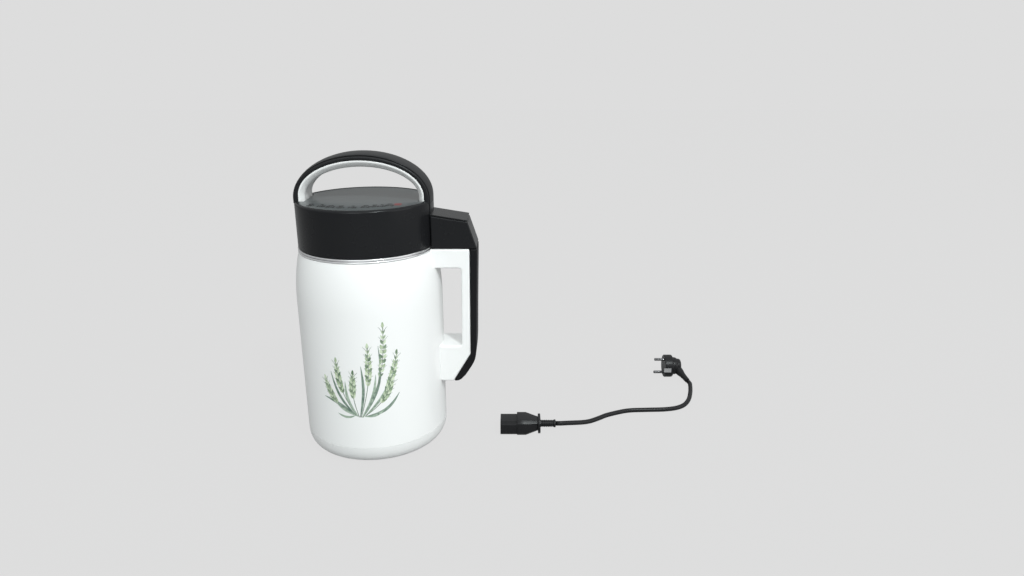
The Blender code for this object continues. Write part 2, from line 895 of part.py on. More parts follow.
def top_panel():
    """A dark glossy disc, notched for the feet of the arch."""
    low = deck_top + gap
    panel = rod("top_panel", panel_seat_radius - gap, low, low + panel_thickness,
                panel_glass, big_steps, group=head_group)
    for side, name in ((-1, "left"), (1, "right")):
        near = side * (arch_inner_reach - gap)
        far = side * (head_radius + overrun)
        near_corner = (min(near, far), -arch_pocket_half, low - overrun)
        far_corner = (max(near, far), arch_pocket_half, low + overrun)
        combine(panel, block(f"panel_notch_{name}", near_corner, far_corner))
    rod("touch_board", deck_hole_radius - touch_board_margin, deck_top - board_thickness,
        deck_top, board_green, inner_steps, group=head_group)


# The carrying arch: a black shell with a raised strip outside, and a white lining inside.
# Each edge of a section follows its own half ellipse, then runs straight down its leg.
arch_lift = 0.0055
arch_stations = 23
arch_edge_draw = 0.0019
arch_edge_drop = 0.0030
arch_groove_draw = 0.0017
arch_strip_draw = 0.0011
arch_strip_inset = 0.0040
arch_groove_width = 0.0006
arch_crown_draw = 0.0003
arch_parting_draw = 0.0073
arch_inner_drop = 0.0139
lining_edge = 0.0016
lining_crown = 0.0005
lining_flat_share = 0.62
arch_spring_height = head_top_height + arch_lift
arch_foot_height = deck_top + gap
arch_top_height = head_top_height + arch_rise


def arch(name, section, material):
    """Loft a closed section along the arch. A point is (reach, rise, across)."""
    mesh = bpy.data.meshes.new(name)
    shape = bmesh.new()
    angles = [pi * i / (arch_stations - 1) for i in range(arch_stations)]
    stations = [(0, 0), *[(a, 1) for a in angles], (pi, 0)]
    rings = []
    for angle, lifted in stations:
        line = []
        for reach, rise, across in section:
            z = arch_spring_height + rise * sin(angle) if lifted else arch_foot_height
            line.append(shape.verts.new((reach * cos(angle), across, z)))
        rings.append(line)
    count = len(section)
    for one, two in zip(rings, rings[1:]):
        for i in range(count):
            j = (i + 1) % count
            shape.faces.new((one[i], two[i], two[j], one[j]))
    shape.faces.new(rings[0])
    shape.faces.new(list(reversed(rings[-1])))
    bmesh.ops.recalc_face_normals(shape, faces=shape.faces)
    shape.to_mesh(mesh)
    shape.free()
    return add(name, mesh, material, group=head_group)


def carrying_arch():
    """The two mouldings of the arch, one inside the other."""
    top_rise = arch_top_height - arch_spring_height

    def drawn(draw):
        return head_radius - draw, top_rise - draw

    edge = (head_radius - arch_edge_draw, top_rise - arch_edge_drop)
    groove = drawn(arch_groove_draw)
    strip = drawn(arch_strip_draw)
    crown = drawn(arch_crown_draw)
    parting = drawn(arch_parting_draw)
    y = half_width
    s = half_width - arch_strip_inset
    g = s + arch_groove_width
    arch("carry_shell", [(*parting, -y), (*edge, -y), (*groove, -g), (*strip, -s), (*crown, -s / 2),
                         (head_radius, top_rise, 0), (*crown, s / 2), (*strip, s), (*groove, g),
                         (*edge, y), (*parting, y)], black_gloss)
    seat = drawn(arch_parting_draw + gap)
    inner = (arch_inner_reach, top_rise - arch_inner_drop)
    round_1 = (inner[0] + lining_edge, inner[1] + lining_edge)
    round_2 = (inner[0] + lining_crown, inner[1] + lining_crown)
    c = half_width * lining_flat_share
    arch("carry_lining", [(*seat, -y), (*seat, y), (*round_1, y), (*round_2, y - lining_edge),
                          (*inner, c), (*inner, -c), (*round_2, lining_edge - y),
                          (*round_1, -y)], white_lining)


# The floor of the head, the steel cover below it and the seal
floor_thickness = 0.0030
floor_hole_margin = 0.0040
floor_post_radius = 0.0030
cover_flange_inset = 0.0016
cover_inset = 0.0044
cover_corner = 0.0080
cover_hole_play = 0.0006
seal_height = 0.0046
seal_lip = 0.0012
board_lift = 0.0100
board_post_angles = (radians(115), radians(180), radians(245))


def head_floor():
    """The ring that closes the drum from below, with posts for the control board."""
    outer = head_radius - head_wall - gap
    high = head_base_height + floor_thickness
    floor = ring("head_floor", motor_radius + floor_hole_margin, outer, head_base_height, high,
                 inner_plastic, inner_steps, group=head_group)
    middle = head_base_height + floor_thickness / 2
    post_circle = (board_inner_radius + board_outer_radius) / 2
    for i, angle in enumerate(board_post_angles):
        place = spot(post_circle, angle)
        post = rod(f"board_post_{i}", floor_post_radius, middle, control_board_height - gap, **place)
        combine(floor, post, "UNION")


def lower_cover():
    """The drawn steel cover round the motor, and the seal against the cup."""
    top = head_base_height - gap
    gauge = steel_gauge
    center = (cover_radius - cover_corner, cover_floor_height + cover_corner)
    outer = arc(center, (cover_corner, cover_corner), 0, -pi / 2, cup_points)
    bend = cover_corner - gauge
    inner = arc(center, (bend, bend), -pi / 2, 0, cup_points)
    hole = sleeve_outer + cover_hole_play
    profile = [
        (cover_radius - gauge, top),
        (cup_radius - cover_flange_inset, top),
        (cup_radius - cover_flange_inset, top - gauge),
        (cover_radius, top - gauge),
        *outer,
        (hole, cover_floor_height),
        (hole, cover_floor_height + gauge),
        *inner,
    ]
    cover = turned("lower_cover", profile, steel, inner_steps, group=head_group)
    bore = probe_radius + screw_clearance
    low = cover_floor_height - overrun
    high = cover_floor_height + overrun
    bores = [rod(name + "_bore", bore, low, high, at=place) for name, place, _ in probes()]
    combine(cover, joined(bores))
    seal_top = top - gauge - gap
    inner_radius = cover_radius + gap
    outer_radius = cup_radius - steel_gauge - gap
    seal = [
        (inner_radius, seal_top),
        (outer_radius - seal_lip, seal_top),
        (outer_radius, seal_top - seal_lip),
        (outer_radius - seal_lip, seal_top - seal_height / 2),
        (outer_radius, seal_top - seal_height + seal_lip),
        (outer_radius - seal_lip, seal_top - seal_height),
        (inner_radius, seal_top - seal_height),
    ]
    turned("head_seal", seal, silicone, inner_steps, group=head_group)


# The two probes that hang from the steel cover
probe_radius = 0.0022
probe_collar_radius = 0.0048
probe_collar_height = 0.0035
probe_inset = 0.0196
probe_stub = 0.0050
level_probe_reach = 0.0290
heat_probe_lift = 0.0480


def probes():
    """Name, place and lower end of each probe."""
    circle = cover_radius - probe_inset
    return (
        ("level_probe", around(circle, radians(215)), cover_floor_height - level_probe_reach),
        ("heat_probe", around(circle, radians(145)), cup_floor_height + heat_probe_lift),
    )


def hanging_probes():
    """A short rod that feels froth, and a long one that feels the heat."""
    for name, place, low in probes():
        seat = cover_floor_height - gap
        profile = [
            (0, seat + probe_stub),
            (probe_radius, seat + probe_stub),
            (probe_radius, seat),
            (probe_collar_radius, seat),
            (probe_collar_radius, seat - probe_collar_height),
            (probe_radius, seat - probe_collar_height),
            (probe_radius, low + probe_radius / 2),
            (probe_radius / 2, low),
            (0, low),
        ]
        turned(name, profile, steel, small_steps, closed=False, at=place, group=head_group)


# The control board and its transformer
board_inner_play = 0.0035
board_outer_play = 0.0037
board_arc_points = 9
transformer_half_length = 0.0120
transformer_half_width = 0.0095
transformer_height = 0.0200


def control_board():
    """A curved circuit board beside the motor, with its transformer."""
    start, _, stop = board_post_angles
    margin = radians(14)
    outer = arc((0, 0), (board_outer_radius,) * 2, start - margin, stop + margin, board_arc_points)
    inner = arc((0, 0), (board_inner_radius,) * 2, stop + margin, start - margin, board_arc_points)
    middle = control_board_height + board_thickness / 2
    plate("control_board", outer + inner, board_thickness / 2, board_green, standing=False,
          at=(0, 0, middle), group=head_group)
    x = (board_inner_radius + board_outer_radius) / 2
    low = control_board_height + board_thickness + gap
    corner = (-x - transformer_half_width, -transformer_half_length, low)
    other = (-x + transformer_half_width, transformer_half_length, low + transformer_height)
    made = block("transformer", corner, other, inner_plastic, group=head_group)
    rounded(made, lining_edge)


# The motor hangs below the deck: its shaft, fan, bells and core are stacked downwards
motor_space = 0.0208
bell_wall = 0.0024
shaft_clearance = 0.0043
shaft_end = 0.0006
fan_disc = 0.0012
fan_height = 0.0060
fan_play = 0.0014
bell_upper_height = 0.0240
core_length = 0.0240
bell_lower_height = 0.0159
bell_crown = 0.0045
core_bore_share = 0.533
coil_inner_share = 0.583
coil_outer_share = 0.861
bell_flank_share = 0.778
armature_share = 0.517
armature_end_share = 0.403
fan_share = 0.75
coil_height = 0.0060
bearing_radius = 0.0080
bearing_height = 0.0058
bearing_lip = 0.0007
bearing_wall = 0.0023
shaft_radius = 0.0040
shaft_play = 0.0012
brush_half_width = 0.0028
brush_end = 0.0016
armature_end = 0.0050
commutator_wall = 0.0050
commutator_lift = 0.0016
cover_radius = cup_radius - cover_inset
motor_radius = cover_radius - steel_gauge - motor_space
core_bore = motor_radius * core_bore_share
coil_inner = motor_radius * coil_inner_share
coil_outer = motor_radius * coil_outer_share
bell_flank = motor_radius * bell_flank_share
bearing_lip_radius = shaft_radius + shaft_play
commutator_radius = shaft_radius + commutator_wall
shaft_high = deck_low - shaft_clearance
fan_low = shaft_high - shaft_end - fan_height
motor_high = fan_low - fan_play
core_high = motor_high - bell_upper_height
core_low = core_high - core_length
motor_low = core_low - bell_lower_height
cover_floor_height = motor_low - gap - steel_gauge
bell_shelf = motor_high - bearing_height - bearing_lip - gap
commutator_low = core_high + armature_end + commutator_lift
commutator_high = bell_shelf - bearing_lip - gap
control_board_height = head_base_height + board_lift
board_inner_radius = motor_radius + board_inner_play
board_outer_radius = head_radius - head_wall - board_outer_play


def motor_frame():
    """The two end bells, the laminated core, its winding, bearings and brushes."""
    seat = bearing_radius + gap
    hub = seat + bearing_wall
    floor = motor_low + bearing_lip
    wall_in = motor_radius - bell_wall
    lower = [
        (wall_in, core_low - gap),
        (motor_radius, core_low - gap),
        (motor_radius, core_low - gap - coil_height),
        (bell_flank, motor_low),
        (bearing_lip_radius, motor_low),
        (bearing_lip_radius, floor),
        (seat, floor),
        (seat, floor + bearing_height + gap),
        (hub, floor + bearing_height + gap),
        (hub, motor_low + bell_wall),
        (bell_flank - bell_wall, motor_low + bell_wall),
        (wall_in, core_low - coil_height),
    ]
    turned("motor_bell_lower", lower, aluminium, mid_steps, group=head_group)
    high = motor_high
    roof = high - bell_crown
    shelf = bell_shelf
    upper = [
        (seat, high),
        (hub, high),
        (hub, roof),
        (bell_flank, roof),
        (motor_radius, roof - bell_flank + coil_inner),
        (motor_radius, core_high + gap),
        (wall_in, core_high + gap),
        (wall_in, roof - bell_flank + coil_inner - bell_wall / 2),
        (bell_flank - bell_wall / 2, shelf - bearing_lip),
        (bearing_lip_radius, shelf - bearing_lip),
        (bearing_lip_radius, shelf),
        (seat, shelf),
    ]
    turned("motor_bell_upper", upper, aluminium, mid_steps, group=head_group)
    ring("stator_core", core_bore, motor_radius, core_low, core_high, iron, mid_steps, group=head_group)
    coil_low = core_high + gap
    coil_edge = (coil_outer - coil_inner) / 4
    coil = [
        (coil_inner + coil_edge, coil_low + coil_height),
        (coil_outer - coil_edge, coil_low + coil_height),
        (coil_outer, coil_low + coil_height - coil_edge),
        (coil_outer, coil_low),
        (coil_inner, coil_low),
        (coil_inner, coil_low + coil_height - coil_edge),
    ]
    turned("field_winding", coil, copper, mid_steps, group=head_group)
    bore = shaft_radius + fit_gap
    ring("bearing_lower", bore, bearing_radius, floor + gap, floor + bearing_height, steel,
         mid_steps, group=head_group)
    ring("bearing_upper", bore, bearing_radius, shelf + gap, shelf + bearing_height, steel,
         mid_steps, group=head_group)
    for i, side in enumerate((-1, 1)):
        near = side * (commutator_radius + gap)
        far = side * (bell_flank - 2 * bell_wall / 2 + gap)
        low = (min(near, far), -brush_half_width, commutator_low + brush_end)
        high_corner = (max(near, far), brush_half_width, commutator_high - brush_end)
        block(f"brush_{i + 1}", low, high_corner, iron, group=head_group)


# What turns: the shaft with the armature, commutator, fan, blade and nut
fan_hub_wall = 0.0045
fan_blade_count = 8
fan_blade_half = 0.0006
fan_edge = 0.0010
blade_lift = 0.0260
blade_thickness = 0.0016
blade_hub_wall = 0.0035
blade_hub_height = 0.0036
blade_sweep_radius = 0.0270
blade_half_width = 0.0045
blade_tip_half_width = 0.0022
blade_tilt = radians(16)
blade_arms = 4
blade_root_share = 0.8
nut_wall = 0.0025
nut_height = 0.0085
nut_round = 0.0030
shaft_tip = 0.0060
blade_low = cup_floor_height + blade_lift
shaft_low = blade_low - shaft_tip


def rotor():
    """The shaft and all that is fixed on it."""
    bore = shaft_radius + fit_gap
    armature_radius = motor_radius * armature_share
    armature_end_radius = motor_radius * armature_end_share
    fan_radius = motor_radius * fan_share
    fan_hub_radius = shaft_radius + fan_hub_wall
    rod("motor_shaft", shaft_radius, shaft_low, shaft_high, steel, group=rotor_group)
    armature = [
        (bore, core_high + armature_end),
        (armature_end_radius, core_high + armature_end),
        (armature_end_radius, core_high),
        (armature_radius, core_high),
        (armature_radius, core_low),
        (armature_end_radius, core_low),
        (armature_end_radius, core_low - armature_end),
        (bore, core_low - armature_end),
    ]
    turned("armature", armature, copper, mid_steps, group=rotor_group)
    ring("commutator", bore, commutator_radius, commutator_low, commutator_high, copper,
         mid_steps, group=rotor_group)
    fan_top = fan_low + fan_height
    profile = [
        (bore, fan_top),
        (fan_hub_radius, fan_top),
        (fan_hub_radius, fan_low + fan_disc),
        (fan_radius, fan_low + fan_disc),
        (fan_radius, fan_low),
        (bore, fan_low),
    ]
    fan = turned("cooling_fan", profile, inner_plastic, mid_steps, group=rotor_group)
    for i in range(fan_blade_count):
        low = (fan_hub_radius - fan_edge, -fan_blade_half, fan_low + fan_disc / 2)
        high = (fan_radius - fan_edge, fan_blade_half, fan_top - fan_edge)
        turn = (0, 0, tau * (i + 1 / 2) / fan_blade_count)
        combine(fan, block(f"fan_blade_{i}", low, high, turn=turn), "UNION")


def blade():
    """A four armed blade with arms bent up and down by turns, and its cap nut."""
    bore = shaft_radius + fit_gap
    high = blade_low + blade_hub_height
    hub_radius = shaft_radius + blade_hub_wall
    hub = ring("blade", bore, hub_radius, blade_low, high, steel, mid_steps, group=rotor_group)
    middle = blade_low + blade_hub_height / 2
    root = shaft_radius + blade_hub_wall * blade_root_share
    outline = [
        (root, -blade_half_width),
        (blade_sweep_radius, -blade_tip_half_width),
        (blade_sweep_radius, blade_tip_half_width),
        (root, blade_half_width),
    ]
    for i in range(blade_arms):
        tilt = blade_tilt if i % 2 == 0 else -blade_tilt
        arm = plate(f"blade_arm_{i}", outline, blade_thickness / 2, standing=False)
        arm.data.transform(Matrix.Translation((-root, 0, 0)))
        arm.data.transform(Matrix.Rotation(-tilt, 4, "Y"))
        arm.data.transform(Matrix.Translation((root, 0, middle)))
        arm.rotation_euler = (0, 0, tau * i / blade_arms)
        combine(hub, arm, "UNION")
    top = blade_low - gap
    nut_radius = shaft_radius + nut_wall
    profile = [
        (0, shaft_low - gap),
        (bore, shaft_low - gap),
        (bore, top),
        (nut_radius, top),
        (nut_radius, top - nut_height + nut_round),
        (nut_radius - nut_round, top - nut_height),
        (0, top - nut_height),
    ]
    turned("blade_nut", profile, steel, small_steps, closed=False, group=rotor_group)


# The steel sleeve round the shaft, and the bush at its lower end
sleeve_wall = 0.0018
sleeve_space = 0.0032
sleeve_flange_wall = 0.0050
sleeve_flange_height = 0.0012
sleeve_lift = 0.0200
bush_height = 0.0120
sleeve_outer = shaft_radius + sleeve_space + sleeve_wall
sleeve_low = blade_low + sleeve_lift


def shaft_sleeve():
    """The long sleeve that guides the shaft down into the cup."""
    top = cover_floor_height - gap
    inner = sleeve_outer - sleeve_wall
    flange = sleeve_outer + sleeve_flange_wall
    profile = [
        (inner, top),
        (flange, top),
        (flange, top - sleeve_flange_height),
        (sleeve_outer, top - sleeve_flange_height),
        (sleeve_outer, sleeve_low),
        (inner, sleeve_low),
    ]
    turned("shaft_sleeve", profile, steel, mid_steps, group=head_group)
    ring("shaft_bush", shaft_radius + fit_gap, inner - gap, sleeve_low, sleeve_low + bush_height,
         brass, mid_steps, group=head_group)


# The cord set on the table beside the jug: connector, cord and plug
cord_radius = 0.0028
connector_tip = 0.1446
connector_middle_y = -0.0038
connector_hood_length = 0.0194
connector_fit = 0.0004
connector_grip_width_step = 0.0018
connector_grip_height_step = 0.0016
connector_grip_length = 0.0105
connector_taper_length = 0.0130
connector_neck_half_width = 0.0085
connector_neck_half_height = 0.0068
connector_collar_length = 0.0030
connector_collar_half_width = 0.0102
connector_collar_half_height = 0.0080
connector_corner_share = 0.4
connector_slot_depth = 0.0150
relief_length = 0.0195
relief_radius = 0.0046
relief_tip_radius = 0.0038
relief_groove = 0.0008
relief_ribs = 4
connector_hood_half_width = inlet_mouth_half_width - connector_fit
connector_hood_half_height = inlet_mouth_half_height - connector_fit
connector_grip_half_width = connector_hood_half_width + connector_grip_width_step
connector_grip_half_height = connector_hood_half_height + connector_grip_height_step


def octagon(half_width_y, half_height, x, middle):
    """A rectangle with cut corners across the X axis."""
    cut = half_height * connector_corner_share
    y = half_width_y
    z = half_height
    corners = [(y, z - cut), (y - cut, z), (cut - y, z), (-y, z - cut),
               (-y, cut - z), (cut - y, -z), (y - cut, -z), (y, cut - z)]
    return [(x, middle[0] + a, middle[1] + b) for a, b in corners]


def loft(name, rings, material=None):
    """Join rings of equal count into one closed body."""
    mesh = bpy.data.meshes.new(name)
    shape = bmesh.new()
    lines = [[shape.verts.new(p) for p in points] for points in rings]
    count = len(rings[0])
    for one, two in zip(lines, lines[1:]):
        for i in range(count):
            j = (i + 1) % count
            shape.faces.new((one[i], one[j], two[j], two[i]))
    shape.faces.new(lines[0])
    shape.faces.new(list(reversed(lines[-1])))
    bmesh.ops.recalc_face_normals(shape, faces=shape.faces)
    shape.to_mesh(mesh)
    shape.free()
    return add(name, mesh, material)


def connector():
    """The moulded connector: hood, grip, collar and ribbed strain relief in one."""
    middle = (connector_middle_y, connector_grip_half_height)
    hood_end = connector_tip + connector_hood_length
    grip_end = hood_end + connector_grip_length
    taper_end = grip_end + connector_taper_length
    collar_end = taper_end + connector_collar_length
    hood = (connector_hood_half_width, connector_hood_half_height)
    grip = (connector_grip_half_width, connector_grip_half_height)
    neck = (connector_neck_half_width, connector_neck_half_height)
    collar = (connector_collar_half_width, connector_collar_half_height)
    rings = [
        octagon(*hood, connector_tip, middle),
        octagon(*hood, hood_end, middle),
        octagon(*grip, hood_end + gap, middle),
        octagon(*grip, grip_end, middle),
        octagon(*neck, taper_end, middle),
        octagon(*collar, taper_end + gap, middle),
        octagon(*collar, collar_end, middle),
    ]
    body = loft("connector_body", rings, cord_black)
    profile = [(0, relief_length)]
    for i in range(relief_ribs * 2 + 1):
        share = i / (relief_ribs * 2)
        radius = relief_tip_radius + (relief_radius - relief_tip_radius) * share
        height = relief_length * (1 - share)
        profile.append((radius - (relief_groove if i % 2 else 0), height))
    profile.append((relief_radius, -connector_collar_length / 2))
    profile.append((0, -connector_collar_length / 2))
    relief = turned("connector_relief", profile, None, small_steps, closed=False,
                    at=(collar_end, *middle), turn=(0, pi / 2, 0))
    combine(body, relief, "UNION")
    for i, (spread, rise) in enumerate(((-1, 1), (1, 1), (0, -1))):
        y = middle[0] + spread * inlet_pin_spread
        z = middle[1] - rise * inlet_pin_rise
        t = inlet_pin_half_thickness + gap
        h = inlet_pin_half_height + gap
        low = (connector_tip - overrun, y - t, z - h)
        high = (connector_tip + connector_slot_depth, y + t, z + h)
        combine(body, block(f"connector_slot_{i}", low, high))
    return collar_end + relief_length


# The plug lies on its edge, pins to the left, its cord leaving towards the front
plug_face = 0.3678
plug_middle_y = 0.1494
plug_radius = 0.0154
plug_face_length = 0.0136
plug_shoulder = 0.0025
plug_back_radius = 0.0100
plug_back_length = 0.0115
plug_pin_spacing = 0.0190
plug_pin_radius = 0.0019
plug_pin_length = 0.0115
plug_pin_seat = 0.0060
plug_pin_nose = 0.0006
plug_tail_length = 0.0252
plug_tail_root_shares = (0.57, 0.54, 0.29)
plug_tail_way_shares = (0.365, -0.8925, -0.2658)
plug_tail_radius = 0.0056
plug_tail_tip_radius = 0.0036
clip_half_width = 0.0030
clip_length = 0.0120
clip_thickness = 0.0008


def plug_tail():
    """Both ends of the plug's tail, which leans forward and down to the table."""
    back, side, drop = plug_tail_root_shares
    root = Vector((
        plug_face + plug_face_length + plug_back_length * back,
        plug_middle_y - plug_back_radius * side,
        plug_radius - plug_back_radius * drop,
    ))
    return root, root + plug_tail_length * Vector(plug_tail_way_shares).normalized()


def plug():
    """The moulded plug, its two round pins and the earth clip on its side."""
    at = (plug_face, plug_middle_y, plug_radius)
    back = plug_face_length + plug_back_length
    profile = [
        (0, back),
        (plug_back_radius - plug_shoulder, back),
        (plug_back_radius, back - plug_shoulder),
        (plug_back_radius, plug_face_length),
        (plug_radius, plug_face_length - plug_shoulder),
        (plug_radius, 0),
        (0, 0),
    ]
    body = turned("plug_body", profile, cord_black, mid_steps, closed=False, at=at, turn=(0, pi / 2, 0))
    start, end = plug_tail()
    along = end - start
    spin = along.to_track_quat("Z", "Y").to_euler()
    length = along.length
    tail = [
        (0, length),
        (plug_tail_tip_radius, length),
        (plug_tail_radius, 0),
        (0, 0),
    ]
    tail_piece = turned("plug_tail", tail, None, small_steps, closed=False, at=start, turn=spin)
    combine(body, tail_piece, "UNION")
    for i, side in enumerate((-1, 1)):
        z = plug_radius + side * plug_pin_spacing / 2
        place = (plug_face, plug_middle_y, z)
        bore = rod(f"plug_bore_pin_{i}", plug_pin_radius + fit_gap, -overrun, plug_pin_seat + gap,
                   at=place, turn=(0, pi / 2, 0))
        combine(body, bore)
        tip = -plug_pin_length
        pin = [
            (0, plug_pin_seat),
            (plug_pin_radius, plug_pin_seat),
            (plug_pin_radius, tip + plug_pin_nose),
            (plug_pin_radius - plug_pin_nose, tip),
            (0, tip),
        ]
        turned(f"plug_pin_{i + 1}", pin, steel, small_steps, closed=False, at=place, turn=(0, pi / 2, 0))
    side_y = plug_middle_y - plug_radius
    t = clip_thickness
    low = (plug_face - fit_gap, side_y - t / 2, plug_radius - clip_half_width)
    high = (plug_face + clip_length - plug_shoulder, side_y + t, plug_radius + clip_half_width)
    recess_low = (low[0] - overrun, low[1] - overrun, low[2] - gap)
    recess_high = (high[0] + gap, high[1] + gap, high[2] + gap)
    combine(body, block("clip_recess", recess_low, recess_high))
    block("earth_clip", low, high, steel)


cord_route = (
    (0.2240, -0.0012, 0.0088),
    (0.2335, 0.0035, 0.0066),
    (0.2430, 0.0088, 0.0042),
    (0.2530, 0.0140, 0.0029),
    (0.2640, 0.0212, 0.0028),
    (0.2760, 0.0297, 0.0028),
    (0.2950, 0.0385, 0.0028),
    (0.3080, 0.0420, 0.0028),
    (0.3270, 0.0432, 0.0028),
    (0.3500, 0.0445, 0.0028),
    (0.3660, 0.0485, 0.0028),
    (0.3780, 0.0570, 0.0028),
    (0.3870, 0.0715, 0.0028),
    (0.3930, 0.0880, 0.0029),
    (0.3970, 0.1030, 0.0032),
)
cord_lead = 0.0060
cord_steps = 3


def cord(start_x):
    """The mains cord from the connector's relief to the plug's tail."""
    start = Vector((start_x + gap, connector_middle_y, connector_grip_half_height))
    root, tail = plug_tail()
    along = (tail - root).normalized()
    end = tail + along * gap
    first = start + Vector((cord_lead, 0, 0))
    last = end + along * cord_lead
    middle = smooth([first, *cord_route, last], cord_steps)
    tube("cord", [start, *middle, end], cord_radius, cord_black, 2)


# Build everything
jug_shell()
side_handle()
coupler_socket()
grip_cover()
base_cover()
feet()
chassis()
heater()
inner_cup()
rim_ring()
inlet()
handle_lead()
head_shell()
top_panel()
carrying_arch()
head_floor()
lower_cover()
hanging_probes()
coupler_plug()
control_board()
motor_frame()
shaft_sleeve()
rotor()
blade()
cord(connector())
plug()
bpy.context.view_layer.update()
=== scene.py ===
# %% [markdown]
# # A soy milk maker
#
# The object is a tall white jug with a side handle. A black motor head with a carrying arch
# closes it, and its mains cord lies beside it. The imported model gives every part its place.
# This lesson dresses that model: each part that shows gets a smooth piece of its own or a
# better finish, and then light and a camera like the photograph's.

import json
from math import atan2, cos, pi, radians, sin, tau

import bmesh
import bpy
from mathutils import Matrix, Vector


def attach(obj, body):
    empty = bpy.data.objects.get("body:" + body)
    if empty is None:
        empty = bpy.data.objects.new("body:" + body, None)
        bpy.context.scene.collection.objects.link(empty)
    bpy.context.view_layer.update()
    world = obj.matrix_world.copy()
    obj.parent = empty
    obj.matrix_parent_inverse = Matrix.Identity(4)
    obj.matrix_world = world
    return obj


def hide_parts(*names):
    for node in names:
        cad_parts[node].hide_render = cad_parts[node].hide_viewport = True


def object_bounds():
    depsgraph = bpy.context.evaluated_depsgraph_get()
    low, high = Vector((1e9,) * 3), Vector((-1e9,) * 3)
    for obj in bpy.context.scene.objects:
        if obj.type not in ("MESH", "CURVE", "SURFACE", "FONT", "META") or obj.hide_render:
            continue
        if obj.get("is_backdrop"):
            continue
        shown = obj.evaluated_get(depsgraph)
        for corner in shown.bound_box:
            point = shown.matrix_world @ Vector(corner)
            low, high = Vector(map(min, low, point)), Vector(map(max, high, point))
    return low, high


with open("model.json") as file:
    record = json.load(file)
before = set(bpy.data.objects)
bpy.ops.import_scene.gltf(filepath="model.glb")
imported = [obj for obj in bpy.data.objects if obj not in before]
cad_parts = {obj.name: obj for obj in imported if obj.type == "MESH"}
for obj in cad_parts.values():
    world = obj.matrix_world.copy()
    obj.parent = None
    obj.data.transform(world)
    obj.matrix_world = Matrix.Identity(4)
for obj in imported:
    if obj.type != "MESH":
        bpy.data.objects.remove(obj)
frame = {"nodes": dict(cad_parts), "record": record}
cad_box = [list(corner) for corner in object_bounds()]
bpy.ops.object.select_all(action="DESELECT")

# %% [markdown]
# The photograph was taken from in front of the jug and somewhat above it. The lens and the
# place of the camera were worked out from the round edges of the jug and the head.

# %% Camera
bpy.ops.object.camera_add(location=(0.1582, -0.7411, 0.4177), rotation=(radians(72.06), 0, 0))
camera = bpy.context.object
camera.name = "photo_camera"
camera.data.sensor_width = 36.0
camera.data.lens = 24.444
camera.data.clip_start = 0.01
bpy.context.scene.camera = camera
bpy.context.scene.view_settings.view_transform = "Standard"
print("camera:", [round(v, 3) for v in camera.location])

# %% [markdown]
# The cord is one length of round cable. It leaves the strain relief of the connector, comes
# down to the table and runs in two loose curves to the plug. A smooth curve is read through
# the points of its route, a round bevel gives it its thickness, and it then becomes a mesh tube.

# %% Cord
cord_radius = 0.0028
cord_start = Vector((0.2103, -0.0038, 0.0098))
tail_start = Vector((0.3880, 0.1440, 0.0125))
tail_end = Vector((0.3972, 0.1215, 0.0058))
tail_way = (tail_end - tail_start).normalized()
cord_end = tail_end + tail_way * 0.0003
cord_lead = 0.0060
cord_route = (
    (0.2240, -0.0012, 0.0088), (0.2335, 0.0035, 0.0066), (0.2430, 0.0088, 0.0042),
    (0.2530, 0.0140, 0.0029), (0.2640, 0.0212, 0.0028), (0.2760, 0.0297, 0.0028),
    (0.2950, 0.0385, 0.0028), (0.3080, 0.0420, 0.0028), (0.3270, 0.0432, 0.0028),
    (0.3500, 0.0445, 0.0028), (0.3660, 0.0485, 0.0028), (0.3780, 0.0570, 0.0028),
    (0.3870, 0.0715, 0.0028), (0.3930, 0.0880, 0.0029), (0.3970, 0.1030, 0.0032),
)


def smooth_route(route, steps):
    """Read points from a smooth curve through the points of a route."""
    points = [Vector(p) for p in route]
    ends = [2 * points[0] - points[1], *points, 2 * points[-1] - points[-2]]
    read = []
    for i in range(1, len(ends) - 2):
        a, b, c, d = ends[i - 1:i + 3]
        for k in range(steps):
            t = k / steps
            first = 2 * b + (c - a) * t
            second = (2 * a - 5 * b + 4 * c - d) * t * t
            third = (3 * b - a - 3 * c + d) * t * t * t
            read.append((first + second + third) / 2)
    read.append(points[-1])
    return read


def only(piece):
    """Select one piece and make it active."""
    bpy.ops.object.select_all(action="DESELECT")
    piece.select_set(True)
    bpy.context.view_layer.objects.active = piece


first_bend = cord_start + Vector((cord_lead, 0, 0))
last_bend = cord_end + tail_way * cord_lead
cord_points = [cord_start, *smooth_route([first_bend, *cord_route, last_bend], 8), cord_end]
cord_curve = bpy.data.curves.new("mains_cord", "CURVE")
cord_curve.dimensions = "3D"
cord_curve.bevel_depth = cord_radius
cord_curve.bevel_resolution = 6
cord_curve.use_fill_caps = True
cord_line = cord_curve.splines.new("POLY")
cord_line.points.add(len(cord_points) - 1)
for knot, place in zip(cord_line.points, cord_points):
    knot.co = (*place, 1)
cord = bpy.data.objects.new("mains_cord", cord_curve)
bpy.context.scene.collection.objects.link(cord)
only(cord)
bpy.ops.object.convert(target="MESH")
cord = bpy.context.object
bpy.ops.object.mode_set(mode="EDIT")
bpy.ops.mesh.select_all(action="SELECT")
bpy.ops.mesh.remove_doubles(threshold=0.00001)
bpy.ops.mesh.normals_make_consistent(inside=False)
bpy.ops.object.mode_set(mode="OBJECT")
bpy.ops.object.shade_smooth()
cord_length = sum((b - a).length for a, b in zip(cord_points, cord_points[1:]))
print("cord length:", round(cord_length, 4))

# %% [markdown]
# Most pieces are turned or cut from a plate. Both start as a line that is drawn by pulling one
# vertex from place to place. A turned piece spins its line about the upright axis. A plate
# fills its line with a face and pulls that face to its thickness.


# %% Drawing and turning
same_place = 0.000001
smooth_angle = radians(32)
fine_steps = 160


